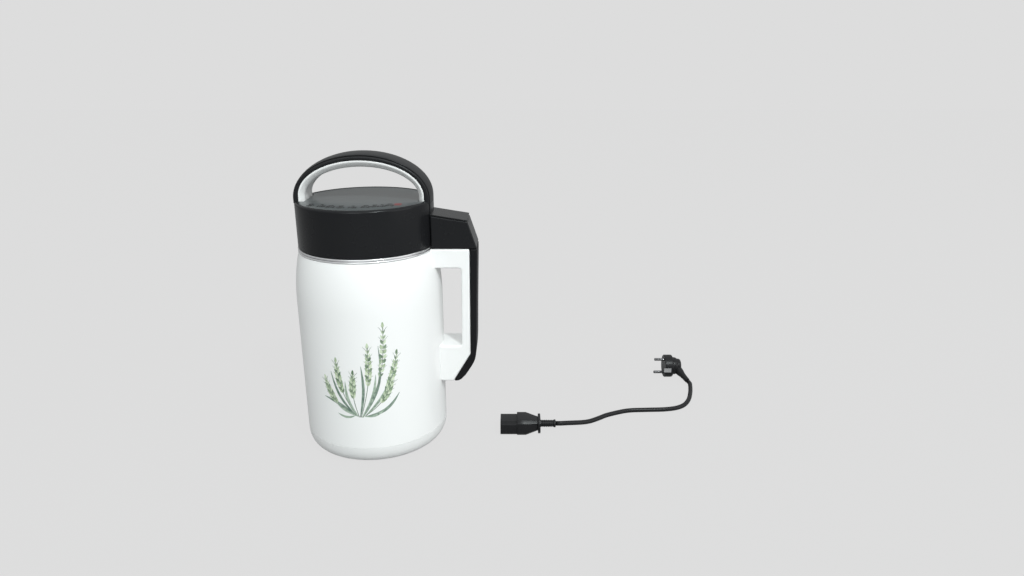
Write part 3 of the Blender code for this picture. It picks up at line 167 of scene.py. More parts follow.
def drawn_line(name, points, closed):
    """Draw a line by extruding one vertex from point to point."""
    bpy.ops.mesh.primitive_plane_add(size=0.01, location=(0, 0, 0))
    piece = bpy.context.object
    piece.name = name
    piece.data.name = name
    bpy.ops.object.mode_set(mode="EDIT")
    bpy.ops.mesh.merge(type="CENTER")
    places = [Vector(p) for p in points]
    if closed:
        places.append(places[0])
    bpy.ops.transform.translate(value=places[0])
    for here, there in zip(places, places[1:]):
        bpy.ops.mesh.extrude_vertices_move(TRANSFORM_OT_translate={"value": there - here})
    bpy.ops.mesh.select_all(action="SELECT")
    bpy.ops.mesh.remove_doubles(threshold=same_place)
    return piece


def tidy_faces(piece):
    """Merge doubles, point the faces outwards and smooth all but sharp edges."""
    bpy.ops.mesh.select_all(action="SELECT")
    bpy.ops.mesh.remove_doubles(threshold=same_place)
    bpy.ops.mesh.normals_make_consistent(inside=False)
    bpy.ops.object.mode_set(mode="OBJECT")
    bpy.ops.object.shade_smooth_by_angle(angle=smooth_angle)
    return piece


def turned(name, profile, steps=128):
    """Spin a profile of (radius, height) points. It is closed unless it starts on the axis."""
    piece = drawn_line(name, [(r, 0, z) for r, z in profile], profile[0][0] > 0)
    bpy.ops.mesh.select_all(action="SELECT")
    bpy.ops.mesh.spin(steps=steps, angle=tau, center=(0, 0, 0), axis=(0, 0, 1))
    return tidy_faces(piece)


def plate(name, outline, half, way=(0, 1, 0)):
    """Fill an outline and extrude it by half its thickness to each side."""
    way = Vector(way)
    piece = drawn_line(name, outline, True)
    bpy.ops.mesh.select_all(action="SELECT")
    bpy.ops.transform.translate(value=way * -half)
    bpy.ops.mesh.edge_face_add()
    bpy.ops.mesh.extrude_region_move(TRANSFORM_OT_translate={"value": way * 2 * half})
    return tidy_faces(piece)


def standing(outline):
    """Stand an outline of (x, z) pairs up in the plane through the jug's axis and handle."""
    return [(x, 0, z) for x, z in outline]


def arc(center, radius, start, stop, count):
    """Points on a circle from one angle to another."""
    angles = [start + (stop - start) * i / (count - 1) for i in range(count)]
    return [(center[0] + radius * cos(a), center[1] + radius * sin(a)) for a in angles]


print("drawing tools are ready")

# %% [markdown]
# A few more tools finish a piece. A Boolean modifier joins two solids or cuts one from the
# other, a Bevel modifier rounds edges, and both are applied at once, so the piece is a plain
# mesh again.


# %% Cutting, joining and moving
def modified(piece, kind, **settings):
    """Give a piece one modifier, set it up and apply it."""
    only(piece)
    modifier = piece.modifiers.new(kind, kind)
    for name, value in settings.items():
        setattr(modifier, name, value)
    bpy.ops.object.modifier_apply(modifier=modifier.name)
    return piece


def combine(piece, tool, operation="DIFFERENCE"):
    """Cut or join a piece with a tool, which is then removed."""
    modified(piece, "BOOLEAN", operation=operation, solver="EXACT", object=tool)
    bpy.data.objects.remove(tool, do_unlink=True)


def soften(piece, width, segments=3, limit=radians(35)):
    """Round a piece's sharp edges."""
    modified(piece, "BEVEL", width=width, segments=segments, limit_method="ANGLE",
             angle_limit=limit)
    return smoothed(piece)


def smoothed(piece, angle=smooth_angle):
    """Smooth a finished piece again after cuts and joints."""
    only(piece)
    bpy.ops.object.shade_smooth_by_angle(angle=angle)
    return piece


def moved(piece, way, turn=Matrix()):
    """Turn and move a finished piece in its mesh, so that its object stays at the origin."""
    piece.data.transform(Matrix.Translation(way) @ turn)
    return piece


def disc(radius, depth, place=(0, 0, 0), vertices=fine_steps):
    """An upright cylinder."""
    bpy.ops.mesh.primitive_cylinder_add(vertices=vertices, radius=radius, depth=depth,
                                        location=place)
    return bpy.context.object


def brick(low, high):
    """A box between two corners."""
    low, high = Vector(low), Vector(high)
    bpy.ops.mesh.primitive_cube_add(size=1.0, location=(0, 0, 0))
    piece = bpy.context.object
    bpy.ops.object.mode_set(mode="EDIT")
    bpy.ops.transform.resize(value=[abs(v) for v in high - low])
    bpy.ops.transform.translate(value=(low + high) / 2)
    bpy.ops.object.mode_set(mode="OBJECT")
    return piece


def joined(name, pieces):
    """Make several separate shapes one object."""
    bpy.ops.object.select_all(action="DESELECT")
    for piece in pieces:
        piece.select_set(True)
    bpy.context.view_layer.objects.active = pieces[0]
    bpy.ops.object.join()
    pieces[0].name = name
    pieces[0].data.name = name
    return pieces[0]


print("cutting tools are ready")

# %% [markdown]
# The outer shell is a single glossy white moulding. Its side is straight low down and draws in
# towards the mouth. It is turned as a thin wall, the slab of the side handle is joined to it,
# and the channel for the wires is cut out of the handle from outside.

# %% Jug shell: the turned wall
body_radius = 0.0799
rim_radius = 0.0733
rim_height = 0.226
shoulder_start = 0.168
shoulder_power = 2.3
wall = 0.0024
seam_top = 0.02095


def shoulder(inset):
    """The side of the jug from its rim down to where it becomes straight."""
    side = []
    for i in range(20):
        z = rim_height + (shoulder_start - rim_height) * i / 19
        share = max(z - shoulder_start, 0) / (rim_height - shoulder_start)
        draw_in = (body_radius - rim_radius) * share ** shoulder_power
        side.append((body_radius - draw_in - inset, z))
    return side


seam_round = 0.0003
mid_height = 0.1
jug_profile = [
    *shoulder(0),
    (body_radius, mid_height), (body_radius, seam_top + seam_round),
    (body_radius - seam_round, seam_top), (body_radius - wall, seam_top),
    (body_radius - wall, mid_height),
    *reversed(shoulder(wall)),
]
jug_shell = turned("jug_shell_white", jug_profile, steps=fine_steps)
print("jug shell:", len(jug_shell.data.vertices), "points")

# %% Jug shell: the handle
handle_top = 0.2277
half_width = 0.020
handle_root = 0.0690
window_top = 0.2062
window_top_reach = 0.1030
window_bottom = 0.1160
window_bottom_reach = 0.1024
window_corner = 0.0030
handle_floor = 0.0729
post_top = (0.1126, handle_top)
post_knee = (0.1117, 0.1063)
post_toe = (0.0921, handle_floor)
handle_outline = [
    (handle_root, handle_top), (handle_root, window_top),
    *arc((window_top_reach - window_corner, window_top - window_corner),
         window_corner, pi / 2, 0, 8),
    *arc((window_bottom_reach - window_corner, window_bottom + window_corner),
         window_corner, 0, -pi / 2, 8),
    (handle_root, window_bottom), (handle_root, handle_floor),
    post_toe, post_knee, post_top,
]
handle = soften(plate("handle_slab", standing(handle_outline), half_width), 0.0020, 5)
combine(jug_shell, handle, "UNION")
channel_half = 0.0155
channel_root = 0.0600
channel_outline = [
    (channel_root, 0.2245), (channel_root, 0.2092), (0.1060, 0.2092), (0.1060, 0.1130),
    (channel_root, 0.1130), (channel_root, 0.0759), (0.0971, 0.0759), (0.1257, 0.1063),
    (0.1257, 0.2245),
]
combine(jug_shell, plate("channel", standing(channel_outline), channel_half))
coupler_near = 0.0827
coupler_far = 0.1073
coupler_half = 0.0093
inlet_inside = 0.0557
inlet_outside = 0.0850
inlet_half = 0.0141
inlet_low = 0.0295
inlet_high = 0.0505


def coupler_hole(low, high):
    """A block for cutting the coupler's hole from one height to another."""
    return brick((coupler_near, -coupler_half, low), (coupler_far, coupler_half, high))


over_handle = 0.2327
combine(jug_shell, coupler_hole(window_top, over_handle))
combine(jug_shell, brick((-inlet_half, inlet_inside, inlet_low),
                         (inlet_half, inlet_outside, inlet_high)))
smoothed(jug_shell)
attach(jug_shell, "jug")
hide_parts("jug_shell", "side_handle")
print("jug shell with handle:", len(jug_shell.data.vertices), "points")

# %% [markdown]
# A black cover closes the wire channel and makes the outer face of the grip. It is one plate
# cut to the bent line of the handle, with well rounded edges.

# %% Grip cover
grip_gap = 0.0003
grip_reach = 0.1207
grip_outline = [
    *[(x + grip_gap, z) for x, z in (post_top, post_knee, post_toe)],
    (0.0950, handle_floor), (0.0975, 0.0732), (0.0992, 0.0740), (0.1012, 0.0755),
    (0.1057, 0.0802), (0.1100, 0.0868), (0.1135, 0.0925), (0.1153, 0.0960),
    (0.1167, 0.0998), (0.1176, 0.1042), (0.1182, 0.1100), (0.1187, 0.1200),
    (0.1193, 0.1570), (grip_reach, 0.2190), (grip_reach, handle_top),
]
grip = soften(plate("grip_cover_black", standing(grip_outline), half_width), 0.0015, 4)
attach(grip, "jug")
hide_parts("grip_cover")
print("grip cover:", len(grip.data.vertices), "points")

# %% [markdown]
# The base cover is a shallow bowl that rounds the jug off at the bottom. A fine seam parts it
# from the shell. Three screws sit in round wells in its underside.

# %% Base cover
base_plane = 0.0007
base_wall = 0.0022
base_reach = 0.0155
base_power = 2.4
seam_low = 0.0209


def bowl(inset, count):
    """The rounded edge of the base from its seam down to its flat."""
    side = []
    for i in range(count):
        a = pi / 2 * i / (count - 1)
        reach = (base_reach - inset) * cos(a) ** (2 / base_power)
        drop = (seam_low - base_plane - inset) * sin(a) ** (2 / base_power)
        side.append((body_radius - base_reach + reach, seam_low - drop))
    return side


base_profile = [
    (0, base_plane + base_wall),
    *reversed(bowl(base_wall, 12)),
    *bowl(0, 24),
    (0, base_plane),
]
base = turned("base_cover_white", base_profile, steps=fine_steps)
screw_circle = 0.060
screw_well = 0.0035
for i in range(3):
    angle = -pi / 2 + pi / 48 + tau * i / 3
    place = (screw_circle * cos(angle), screw_circle * sin(angle), 0.0015)
    combine(base, disc(screw_well, 0.010, place, 40))
smoothed(base)
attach(base, "jug")
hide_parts("base_cover")
print("base cover:", len(base.data.vertices), "points")

# %% [markdown]
# The bright ring at the mouth has two beads with a groove between them. Each bead is a small
# arc in the profile, so the light breaks on it in fine lines.

# %% Rim ring and steel cup
ring_low = 0.2263
ring_high = 0.2307
ring_inside = 0.0615
bead_center = 0.0728
bead = 0.0009
groove_floor = 0.0715
ring_profile = [
    (ring_inside, ring_high), (0.0726, ring_high),
    *arc((bead_center, ring_high - bead), bead, pi / 2, -pi / 2.4, 8),
    (groove_floor, ring_high - 0.0018), (groove_floor, ring_high - 0.0025),
    *arc((bead_center, ring_low + bead), bead, pi / 2.4, -pi / 2, 8),
    (0.0719, ring_low), (0.0719, 0.2274), (ring_inside, 0.2274),
]
rim_ring = turned("rim_ring_bright", ring_profile, steps=fine_steps)
cup_profile = [
    (0, 0.0508),
    *arc((0.0520, 0.0600), 0.0092, -pi / 2, 0, 10),
    (0.0612, 0.2271), (0.0716, 0.2271), (0.0716, 0.2263), (0.0620, 0.2263),
    *arc((0.0520, 0.0600), 0.0100, 0, -pi / 2, 10),
    (0, 0.0500),
]
cup = turned("steel_cup", cup_profile)
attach(rim_ring, "jug")
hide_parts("rim_ring")
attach(cup, "jug")
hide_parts("inner_cup")
print("rim ring and cup are turned")

# %% [markdown]
# The head is a black gloss drum with a nose over the side handle. The drum is turned with a
# soft upper edge, and a shallow seat inside that edge holds the touch panel. The nose has a
# sloping front, and a thin lid lies on its sloping top with a narrow joint below it. The nose is
# hollow, and the coupler looks out of its underside.

# %% Head shell
head_radius = 0.0732
head_base = 0.2310
head_top = 0.280
deck_top = 0.2773
deck_low = deck_top - 0.0030
deck_inside = 0.0570
head_edge = 0.0030
head_inside = head_radius - 0.0025
head_profile = [
    (0.0695, head_top - 0.0002), (0.0697, head_top),
    *arc((head_radius - head_edge, head_top - head_edge), head_edge, pi / 2, 0, 10),
    (head_radius, 0.250), (head_radius, head_base + 0.0004), (head_radius - 0.0004, head_base),
    (head_inside, head_base), (head_inside, deck_low), (deck_inside, deck_low),
    (deck_inside, deck_top), (0.0695, deck_top),
]
head_shell = turned("head_shell_black", head_profile, steps=fine_steps)
nose_base = 0.2280
nose_root = 0.0715
lid_root = 0.2657
lid_slope = (lid_root - 0.2594) / (0.1104 - nose_root)
nose_outline = [
    (nose_root, nose_base), (grip_reach, nose_base), (0.1198, 0.2310), (0.1109, 0.2577),
    (nose_root, 0.2641),
]
nose = soften(plate("nose", standing(nose_outline), half_width), 0.0015, 5)


def nose_layer(name, top, bottom, reach, half):
    """A sloping plate on the nose, given by its depths under the nose's top."""
    front = lid_root - lid_slope * (reach - nose_root)
    outline = [(nose_root, lid_root - bottom), (reach, front - bottom),
               (reach, front - top), (nose_root, lid_root - top)]
    return plate(name, standing(outline), half)


combine(nose, nose_layer("nose_neck", 0.0005, 0.0032, 0.1092, half_width - 0.0010), "UNION")
combine(nose, soften(nose_layer("nose_lid", 0.0, 0.0011, 0.1106, half_width), 0.0003, 3), "UNION")
combine(head_shell, nose, "UNION")
nose_hollow = [
    (0.0600, 0.2353), (0.0770, 0.2353), (0.0770, 0.2310), (0.1162, 0.2310),
    (0.1072, 0.2565), (0.0732, 0.2625), (0.0600, 0.2625),
]
nose_hollow_half = 0.0170
combine(head_shell, plate("nose_hollow", standing(nose_hollow), nose_hollow_half))
strip_low = 0.2650
strip_rise = 0.0075
strip_side = [
    (0.0708, 0.0080), (0.0702, 0.0168), (0.0714, 0.0172), (0.0717, 0.0171),
    (0.0720, 0.0162), (0.0726, 0.0120), (0.0730, 0.0070), (0.0732, 0.0020),
]
strip_outline = [
    *[(x, y, strip_low) for x, y in strip_side],
    *[(x, -y, strip_low) for x, y in reversed(strip_side)],
]
strip_root = plate("strip_root", strip_outline, strip_rise, (0, 0, 1))
combine(head_shell, moved(strip_root, (0, 0, strip_rise)), "UNION")
over_head = 0.2850
strip_edge = 0.0173
groove_edge = 0.0184
for side in (-1, 1):
    combine(head_shell, brick((0.0704, side * strip_edge, strip_low + 0.0008),
                              (0.0740, side * groove_edge, over_head)))
trim_radius = 0.0742
trim_depth = 0.010
combine(head_shell, disc(trim_radius, trim_depth, (0, 0, head_base - trim_depth / 2)))
under_nose = 0.2230
combine(head_shell, coupler_hole(under_nose, 0.2360))
arch_seat_near = 0.0597
arch_seat_far = 0.0782
arch_seat_half = 0.0203


def cut_arch_seats(piece, low):
    """Cut a square notch for each foot of the arch, down to a height."""
    for side in (-1, 1):
        combine(piece, brick((side * arch_seat_near, -arch_seat_half, low),
                             (side * arch_seat_far, arch_seat_half, over_head)))


cut_arch_seats(head_shell, deck_top)
smoothed(head_shell)
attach(head_shell, "head")
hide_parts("head_shell")
print("head shell:", len(head_shell.data.vertices), "points")

# %% [markdown]
# The touch panel is a dark glossy disc that lies in the seat, notched where the arch stands. A
# row of small plain marks along its front edge shows where the keys are, and a red ring marks
# the key that starts and stops. The marks are flat inlays, a tenth of a millimetre proud.

# %% Touch panel
panel_top = 0.2796
panel_radius = 0.0692
panel_depth = 0.0020
panel = disc(panel_radius, panel_depth)
panel.name = "touch_panel"
moved(panel, (0, 0, panel_top - panel_depth / 2))
soften(panel, 0.0003, 2)
under_panel = 0.2750
cut_arch_seats(panel, under_panel)
smoothed(panel)
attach(panel, "head")
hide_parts("top_panel")
print("touch panel:", len(panel.data.vertices), "points")

# %% [markdown]
# The arch has three mouldings: a black outer shell with a slightly crowned back, a raised strip
# along the middle of that back, and a white lining inside. Each edge of their section follows
# its own half ellipse, which no single spin can do, so the section is lofted: it is set down at
# many stations round the arch, and the stations are joined with faces.

# %% Carrying arch
foot_height = 0.2776
outer_spring = 0.2820
parting_spring = 0.2848
inner_spring = 0.2835
stations = 120


def piece_of(name, shape):
    """Point a shape's faces outwards and make it an object."""
    bmesh.ops.recalc_face_normals(shape, faces=shape.faces)
    mesh = bpy.data.meshes.new(name)
    shape.to_mesh(mesh)
    shape.free()
    piece = bpy.data.objects.new(name, mesh)
    bpy.context.scene.collection.objects.link(piece)
    return piece


def ring_loft(name, rings):
    """Join rings of equal count into one closed body."""
    shape = bmesh.new()
    lines = [[shape.verts.new(p) for p in points] for points in rings]
    count = len(rings[0])
    for one, two in zip(lines, lines[1:]):
        for i in range(count):
            j = (i + 1) % count
            shape.faces.new((one[i], two[i], two[j], one[j]))
    shape.faces.new(lines[0])
    shape.faces.new(list(reversed(lines[-1])))
    return piece_of(name, shape)


def arch_loft(name, section):
    """Set a closed section down round the arch. A point is (reach, spring, top, across)."""
    angles = [pi * i / (stations - 1) for i in range(stations)]
    rings = []
    for angle, lifted in [(0, 0), *[(a, 1) for a in angles], (pi, 0)]:
        line = []
        for reach, spring, top, across in section:
            z = spring + (top - spring) * sin(angle) if lifted else foot_height
            line.append((reach * cos(angle), across, z))
        rings.append(line)
    return smoothed(ring_loft(name, rings), radians(28))


def both_sides(*groups):
    """Give groups of points their spring heights and mirror them to the arch's other side."""
    half = [(reach, spring, top, across)
            for spring, points in groups for reach, top, across in points]
    return [*half, *[(*point[:3], -point[3]) for point in reversed(half)]]


arch_shell = arch_loft("carry_arch_black", both_sides((outer_spring, [
    (0.0712, 0.3264, 0.0080), (0.0711, 0.3262, 0.0165), (0.0709, 0.3259, 0.0174),
    (0.0709, 0.3259, 0.0183), (0.0712, 0.3263, 0.0186), (0.0712, 0.3263, 0.0189),
    (0.0711, 0.3262, 0.0192), (0.0709, 0.3260, 0.0195), (0.0707, 0.3257, 0.0197),
    (0.0704, 0.3254, 0.0199), (0.0701, 0.3250, 0.0200),
]), (parting_spring, [
    (0.0670, 0.3231, 0.0200), (0.0663, 0.3225, 0.0197), (0.0661, 0.3223, 0.0190),
])))
arch_strip = arch_loft("carry_arch_strip", both_sides((outer_spring, [
    (0.0714, 0.3268, 0.0080), (0.0712, 0.3265, 0.0168), (0.0713, 0.3268, 0.0172),
    (0.0715, 0.3271, 0.0173), (0.0717, 0.3274, 0.0172), (0.0719, 0.3277, 0.0169),
    (0.0720, 0.3279, 0.0164), (0.0726, 0.3288, 0.0120), (0.0730, 0.3294, 0.0070),
    (0.0732, 0.3296, 0.0020),
])))
arch_lining = arch_loft("carry_arch_lining", both_sides((parting_spring, [
    (0.0658, 0.3220, 0.0190), (0.0657, 0.3219, 0.0196), (0.0654, 0.3216, 0.0199),
]), (inner_spring, [
    (0.0649, 0.3209, 0.0200), (0.0644, 0.3203, 0.0198), (0.0638, 0.3195, 0.0193),
    (0.0628, 0.3183, 0.0182), (0.0617, 0.3170, 0.0170), (0.0609, 0.3160, 0.0158),
    (0.0603, 0.3153, 0.0146), (0.0600, 0.3149, 0.0132), (0.0601, 0.3150, 0.0120),
    (0.0604, 0.3154, 0.0110), (0.0608, 0.3159, 0.0102), (0.0610, 0.3161, 0.0092),
    (0.0611, 0.3162, 0.0050),
])))
for piece, slot in ((arch_shell, "black_gloss"), (arch_strip, "black_gloss"),
                    (arch_lining, "white_lining")):
    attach(piece, "head")
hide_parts("carry_shell")
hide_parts("carry_lining")
print("arch pieces:", len(arch_shell.data.vertices), "points in the shell")

# %% [markdown]
# Below the head hangs what reaches into the jug: the drawn steel cover of the motor, its seal,
# the sleeve of the shaft, two probes and the blade. They show when the head is lifted off, so
# the round ones are turned again with fine steps.

# %% Under the head
cover_profile = [
    (0.0096, 0.1978),
    *arc((0.0496, 0.2050), 0.0072, -pi / 2, 0, 10),
    (0.0568, 0.2317), (0.0604, 0.2317), (0.0604, 0.2309), (0.0576, 0.2309),
    *arc((0.0496, 0.2050), 0.0080, 0, -pi / 2, 10),
    (0.0096, 0.1970),
]
motor_cover = turned("motor_cover_steel", cover_profile)
seal_profile = [
    (0.0579, 0.2306), (0.0597, 0.2306),
    *arc((0.0597, 0.2294), 0.0012, pi / 2, -pi / 3, 6),
    (0.0597, 0.2283),
    *arc((0.0597, 0.2272), 0.0012, pi / 3, -pi / 2, 6),
    (0.0579, 0.2260),
]
seal = turned("head_seal_ring", seal_profile)
sleeve_profile = [
    (0.0072, 0.1967), (0.0137, 0.1967), (0.0140, 0.1964), (0.0140, 0.1955),
    (0.0098, 0.1955), (0.0090, 0.1947), (0.0090, 0.0967), (0.0083, 0.0960),
    (0.0072, 0.0960),
]
sleeve = turned("shaft_sleeve_steel", sleeve_profile, steps=64)
nut_profile = [
    (0, 0.0697), (0.0041, 0.0697), (0.0041, 0.0757), (0.0065, 0.0757),
    *arc((0.0035, 0.0702), 0.0030, 0, -pi / 2, 8),
    (0, 0.0672),
]
cap_nut = turned("blade_cap_nut", nut_profile, steps=64)
shaft_profile = [
    (0, 0.2700), (0.0037, 0.2700), (0.0040, 0.2697), (0.0040, 0.0703),
    (0.0037, 0.0700), (0, 0.0700),
]
shaft = turned("motor_shaft_steel", shaft_profile, steps=48)
for piece, body, node, slot in ((motor_cover, "head", "lower_cover", "steel"),
                                (seal, "head", "head_seal", "silicone"),
                                (sleeve, "head", "shaft_sleeve", "steel"),
                                (cap_nut, "rotor", "blade_nut", "steel"),
                                (shaft, "rotor", "motor_shaft", "steel")):
    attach(piece, body)
    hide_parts(node)
probe_circle = 0.038
rod = 0.0022


def probe(name, angle, low):
    """A steel rod with a round tip and a collar against the motor cover."""
    profile = [(0, 0.2017), (rod, 0.2017), (rod, 0.1967), (0.0045, 0.1967), (0.0048, 0.1964),
               (0.0048, 0.1935), (0.0045, 0.1932), (rod, 0.1932), (rod, low + rod),
               *arc((0, low + rod), rod, 0, -pi / 2, 6)[1:-1], (0, low)]
    piece = turned(name, profile, steps=40)
    return moved(piece, (probe_circle * cos(angle), probe_circle * sin(angle), 0))


probes = []
for name, node, angle, low in (("froth_probe", "level_probe", radians(215), 0.168),
                               ("warmth_probe", "heat_probe", radians(145), 0.098)):
    piece = probe(name, angle, low)
    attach(piece, "head")
    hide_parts(node)
    probes.append(piece)
print("pieces under the head are turned")

# %% [markdown]
# The connector is a moulding in four steps: a hood with cut corners that goes over the inlet's
# pins, a wider grip, a taper and a collar. Rings of eight points are joined into its body, as
# the arch's were. The ribbed strain relief behind it is turned and laid along the cord.

# %% Connector
connector_y = -0.0038
connector_z = 0.0098


def octagon(x, y, z, cut, drop=0.0):
    """A rectangle with cut corners across the X axis."""
    corners = [(y, z - cut), (y - cut, z), (cut - y, z), (-y, z - cut),
               (-y, cut - z), (cut - y, -z), (y - cut, -z), (y, cut - z)]
    return [(x, connector_y + a, connector_z - drop + b) for a, b in corners]


def along_x(piece, place):
    """Lay a turned piece down along the X axis at a place."""
    return moved(piece, place, Matrix.Rotation(pi / 2, 4, "Y"))


connector = ring_loft("connector_black", [
    octagon(0.1446, 0.0124, 0.0087, 0.0034, 0.0008),
    octagon(0.1640, 0.0124, 0.0087, 0.0034, 0.0008),
    octagon(0.1643, 0.0136, 0.0098, 0.0036),
    octagon(0.1745, 0.0136, 0.0098, 0.0036),
    octagon(0.1888, 0.0080, 0.0064, 0.0027),
    octagon(0.1891, 0.0112, 0.0090, 0.0034),
    octagon(0.1918, 0.0112, 0.0090, 0.0034),
])
soften(connector, 0.0007, 3, radians(25))
slot_half_width = 0.0013
slot_half_height = 0.0023
for spread, rise in ((-1, 1), (1, 1), (0, -1)):
    y = connector_y + spread * 0.0070
    z = connector_z - rise * 0.0020
    combine(connector, brick((0.1400, y - slot_half_width, z - slot_half_height),
                             (0.1596, y + slot_half_width, z + slot_half_height)))
smoothed(connector)
relief_profile = [
    (0, 0.0195), (0.0040, 0.0195), (0.0046, 0.0191), (0.0046, 0.0174),
    (0.0041, 0.0170),
]
rib = 0.0042
neck = 0.0037
for i in range(7):
    top = 0.0164 - i * 0.0021
    relief_profile += [(neck, top), (neck, top - 0.0006), (rib, top - 0.0008), (rib, top - 0.0018)]
relief_profile += [(0.0043, -0.0005), (0, -0.0005)]
relief = along_x(turned("connector_relief_black", relief_profile, steps=48),
                 (0.1905, connector_y, connector_z))
relief = joined("connector_black", [connector, relief])
print("connector:", len(relief.data.vertices), "points")

# %% [markdown]
# The plug is a thick disc with a narrower back. It lies on its edge with its two pins towards
# the jug. The cord leaves its back through a tapered tail, and a steel earth clip is let into
# its side.

# %% Plug
plug_radius = 0.0154
plug_place = (0.3678, 0.1494, plug_radius)
plug_profile = [
    (0, 0.0251), (0.0068, 0.0251),
    *arc((0.0068, 0.0221), 0.0030, pi / 2, 0, 6),
    (0.0100, 0.0200), (0.0112, 0.0188), (0.0118, 0.0170), (0.0118, 0.0140),
    (0.0122, 0.0136), (0.0130, 0.0136),
    *arc((0.0130, 0.0112), 0.0024, pi / 2, 0, 6),
    (plug_radius, 0.0026), (0.0146, 0.0018), (0, 0.0018),
]
plug = along_x(turned("plug_black", plug_profile, steps=96), plug_place)
tail_length = (tail_end - tail_start).length
taper = ((0.0035, 0.72), (0.0041, 0.50), (0.0052, 0.30))
tail_profile = [
    (0, tail_length), (0.0031, tail_length), (0.0033, tail_length - 0.0004),
    *[(radius, tail_length * share) for radius, share in taper],
    (0.0060, 0), (0, 0),
]
tail = turned("plug_tail_black", tail_profile, steps=48)
tail_turn = tail_way.to_track_quat("Z", "Y").to_matrix().to_4x4()
combine(plug, moved(tail, tail_start, tail_turn), "UNION")
side_y = plug_place[1] - plug_radius
clip_seat = brick((0.3600, side_y - 0.0050, 0.0121), (0.3776, side_y + 0.0012, 0.0187))
combine(plug, clip_seat)
smoothed(plug)
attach(plug, "jug")
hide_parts("plug_body")
pin_profile = [
    (0, 0.0060), (0.0019, 0.0060), (0.0019, -0.0105),
    *arc((0.0009, -0.0105), 0.0010, 0, -pi / 2, 5)[1:],
    (0, -0.0115),
]
pin_offset = 0.0095
pins = []
for level, node, side in (("low", "plug_pin_1", -1), ("high", "plug_pin_2", 1)):
    pin = turned(f"plug_pin_{level}", pin_profile, steps=32)
    along_x(pin, (plug_place[0], plug_place[1], plug_place[2] + side * pin_offset))
    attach(pin, "jug")
    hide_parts(node)
    pins.append(pin)
for piece, node in ((relief, "connector_body"), (cord, "cord")):
    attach(piece, "jug")
    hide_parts(node)
print("plug:", len(plug.data.vertices), "points")

# %% [markdown]
# Shader maths reads best as plain sums. One small class wraps a socket, and Python's signs on
# it add Math nodes. Another makes a finish with one Principled shader and adds any other node.


# %% Tools for finishes
def put(tree, place, value):
    """Link a wire to a socket, or set the socket to a plain value."""
    if isinstance(value, Wire):
        tree.links.new(value.socket, place)
    else:
        place.default_value = value


class Wire:
    """A shader socket that Python's signs turn into Math nodes."""

    def __init__(self, tree, socket):
        self.tree = tree
        self.socket = socket

    def maths(self, operation, first, second):
        node = self.tree.nodes.new("ShaderNodeMath")
        node.operation = operation
        put(self.tree, node.inputs[0], first)
        put(self.tree, node.inputs[1], second)
        return Wire(self.tree, node.outputs[0])

    def __add__(self, other):
        return self.maths("ADD", self, other)

    def __mul__(self, other):
        return self.maths("MULTIPLY", self, other)

    def __radd__(self, other):
        return self.maths("ADD", other, self)

    def __rmul__(self, other):
        return self.maths("MULTIPLY", other, self)


class Nodes:
    """A node tree with one way to add any node."""

    def __init__(self, tree):
        self.tree = tree

    def node(self, kind, sockets=None, output=0):
        """Add a node, fill its sockets and give back one output."""
        made = self.tree.nodes.new(kind)
        for name, value in (sockets or {}).items():
            put(self.tree, made.inputs[name], value)
        return Wire(self.tree, made.outputs[output])


class Finish(Nodes):
    """A material with one Principled shader."""

    def __init__(self, name, color, roughness, metallic=0.0, shine=0.5):
        self.material = bpy.data.materials.new(name)
        self.material.use_nodes = True
        super().__init__(self.material.node_tree)
        self.shader = self.tree.nodes["Principled BSDF"]
        self.feed("Base Color", (*color, 1.0))
        self.feed("Roughness", roughness)
        self.feed("Metallic", metallic)
        self.feed("Specular IOR Level", shine)

    def feed(self, name, value):
        """Give one of the shader's own sockets a wire or a value."""
        put(self.tree, self.shader.inputs[name], value)

    def place(self, stretch=(1, 1, 1)):
        """Object coordinates, stretched as the pattern needs."""
        where = self.node("ShaderNodeTexCoord", output="Object")
        return self.node("ShaderNodeMapping", {"Vector": where, "Scale": stretch})

    def noise(self, scale, stretch=(1, 1, 1), detail=3.0):
        """A soft random value over the piece."""
        return self.node("ShaderNodeTexNoise",
                         {"Vector": self.place(stretch), "Scale": scale, "Detail": detail})

    def bump(self, height, distance, strength=1.0):
        """Raise the surface by a pattern."""
        relief = {"Height": height, "Distance": distance, "Strength": strength}
        self.feed("Normal", self.node("ShaderNodeBump", relief))

    def tint(self, factor, low, high):
        """Mix two colours by a pattern and paint the piece with them."""
        ramp = self.node("ShaderNodeValToRGB", {"Fac": factor})
        stops = ramp.socket.node.color_ramp.elements
        for stop, place, color in zip(stops, (0.3, 0.7), (low, high)):
            stop.position = place
            stop.color = (*color, 1.0)
        self.feed("Base Color", ramp)


print("finish tools are ready")

# %% [markdown]
# Glossy plastic is smooth, but never perfect. Its gloss varies a little over a few centimetres,
# and a very fine ripple is left by the mould. Both come from noise in object coordinates. The
# arch and the grip are less shiny than the drum of the head.


# %% Plastics
def plastic(name, color, roughness, spread, ripple, shine=0.5):
    """A moulded plastic with uneven gloss and a fine ripple."""
    made = Finish(name, color, roughness, shine=shine)
    made.feed("Roughness", made.noise(38.0) * spread + (roughness - spread / 2))
    made.bump(made.noise(420.0, detail=2.0), ripple, 0.25)
    return made


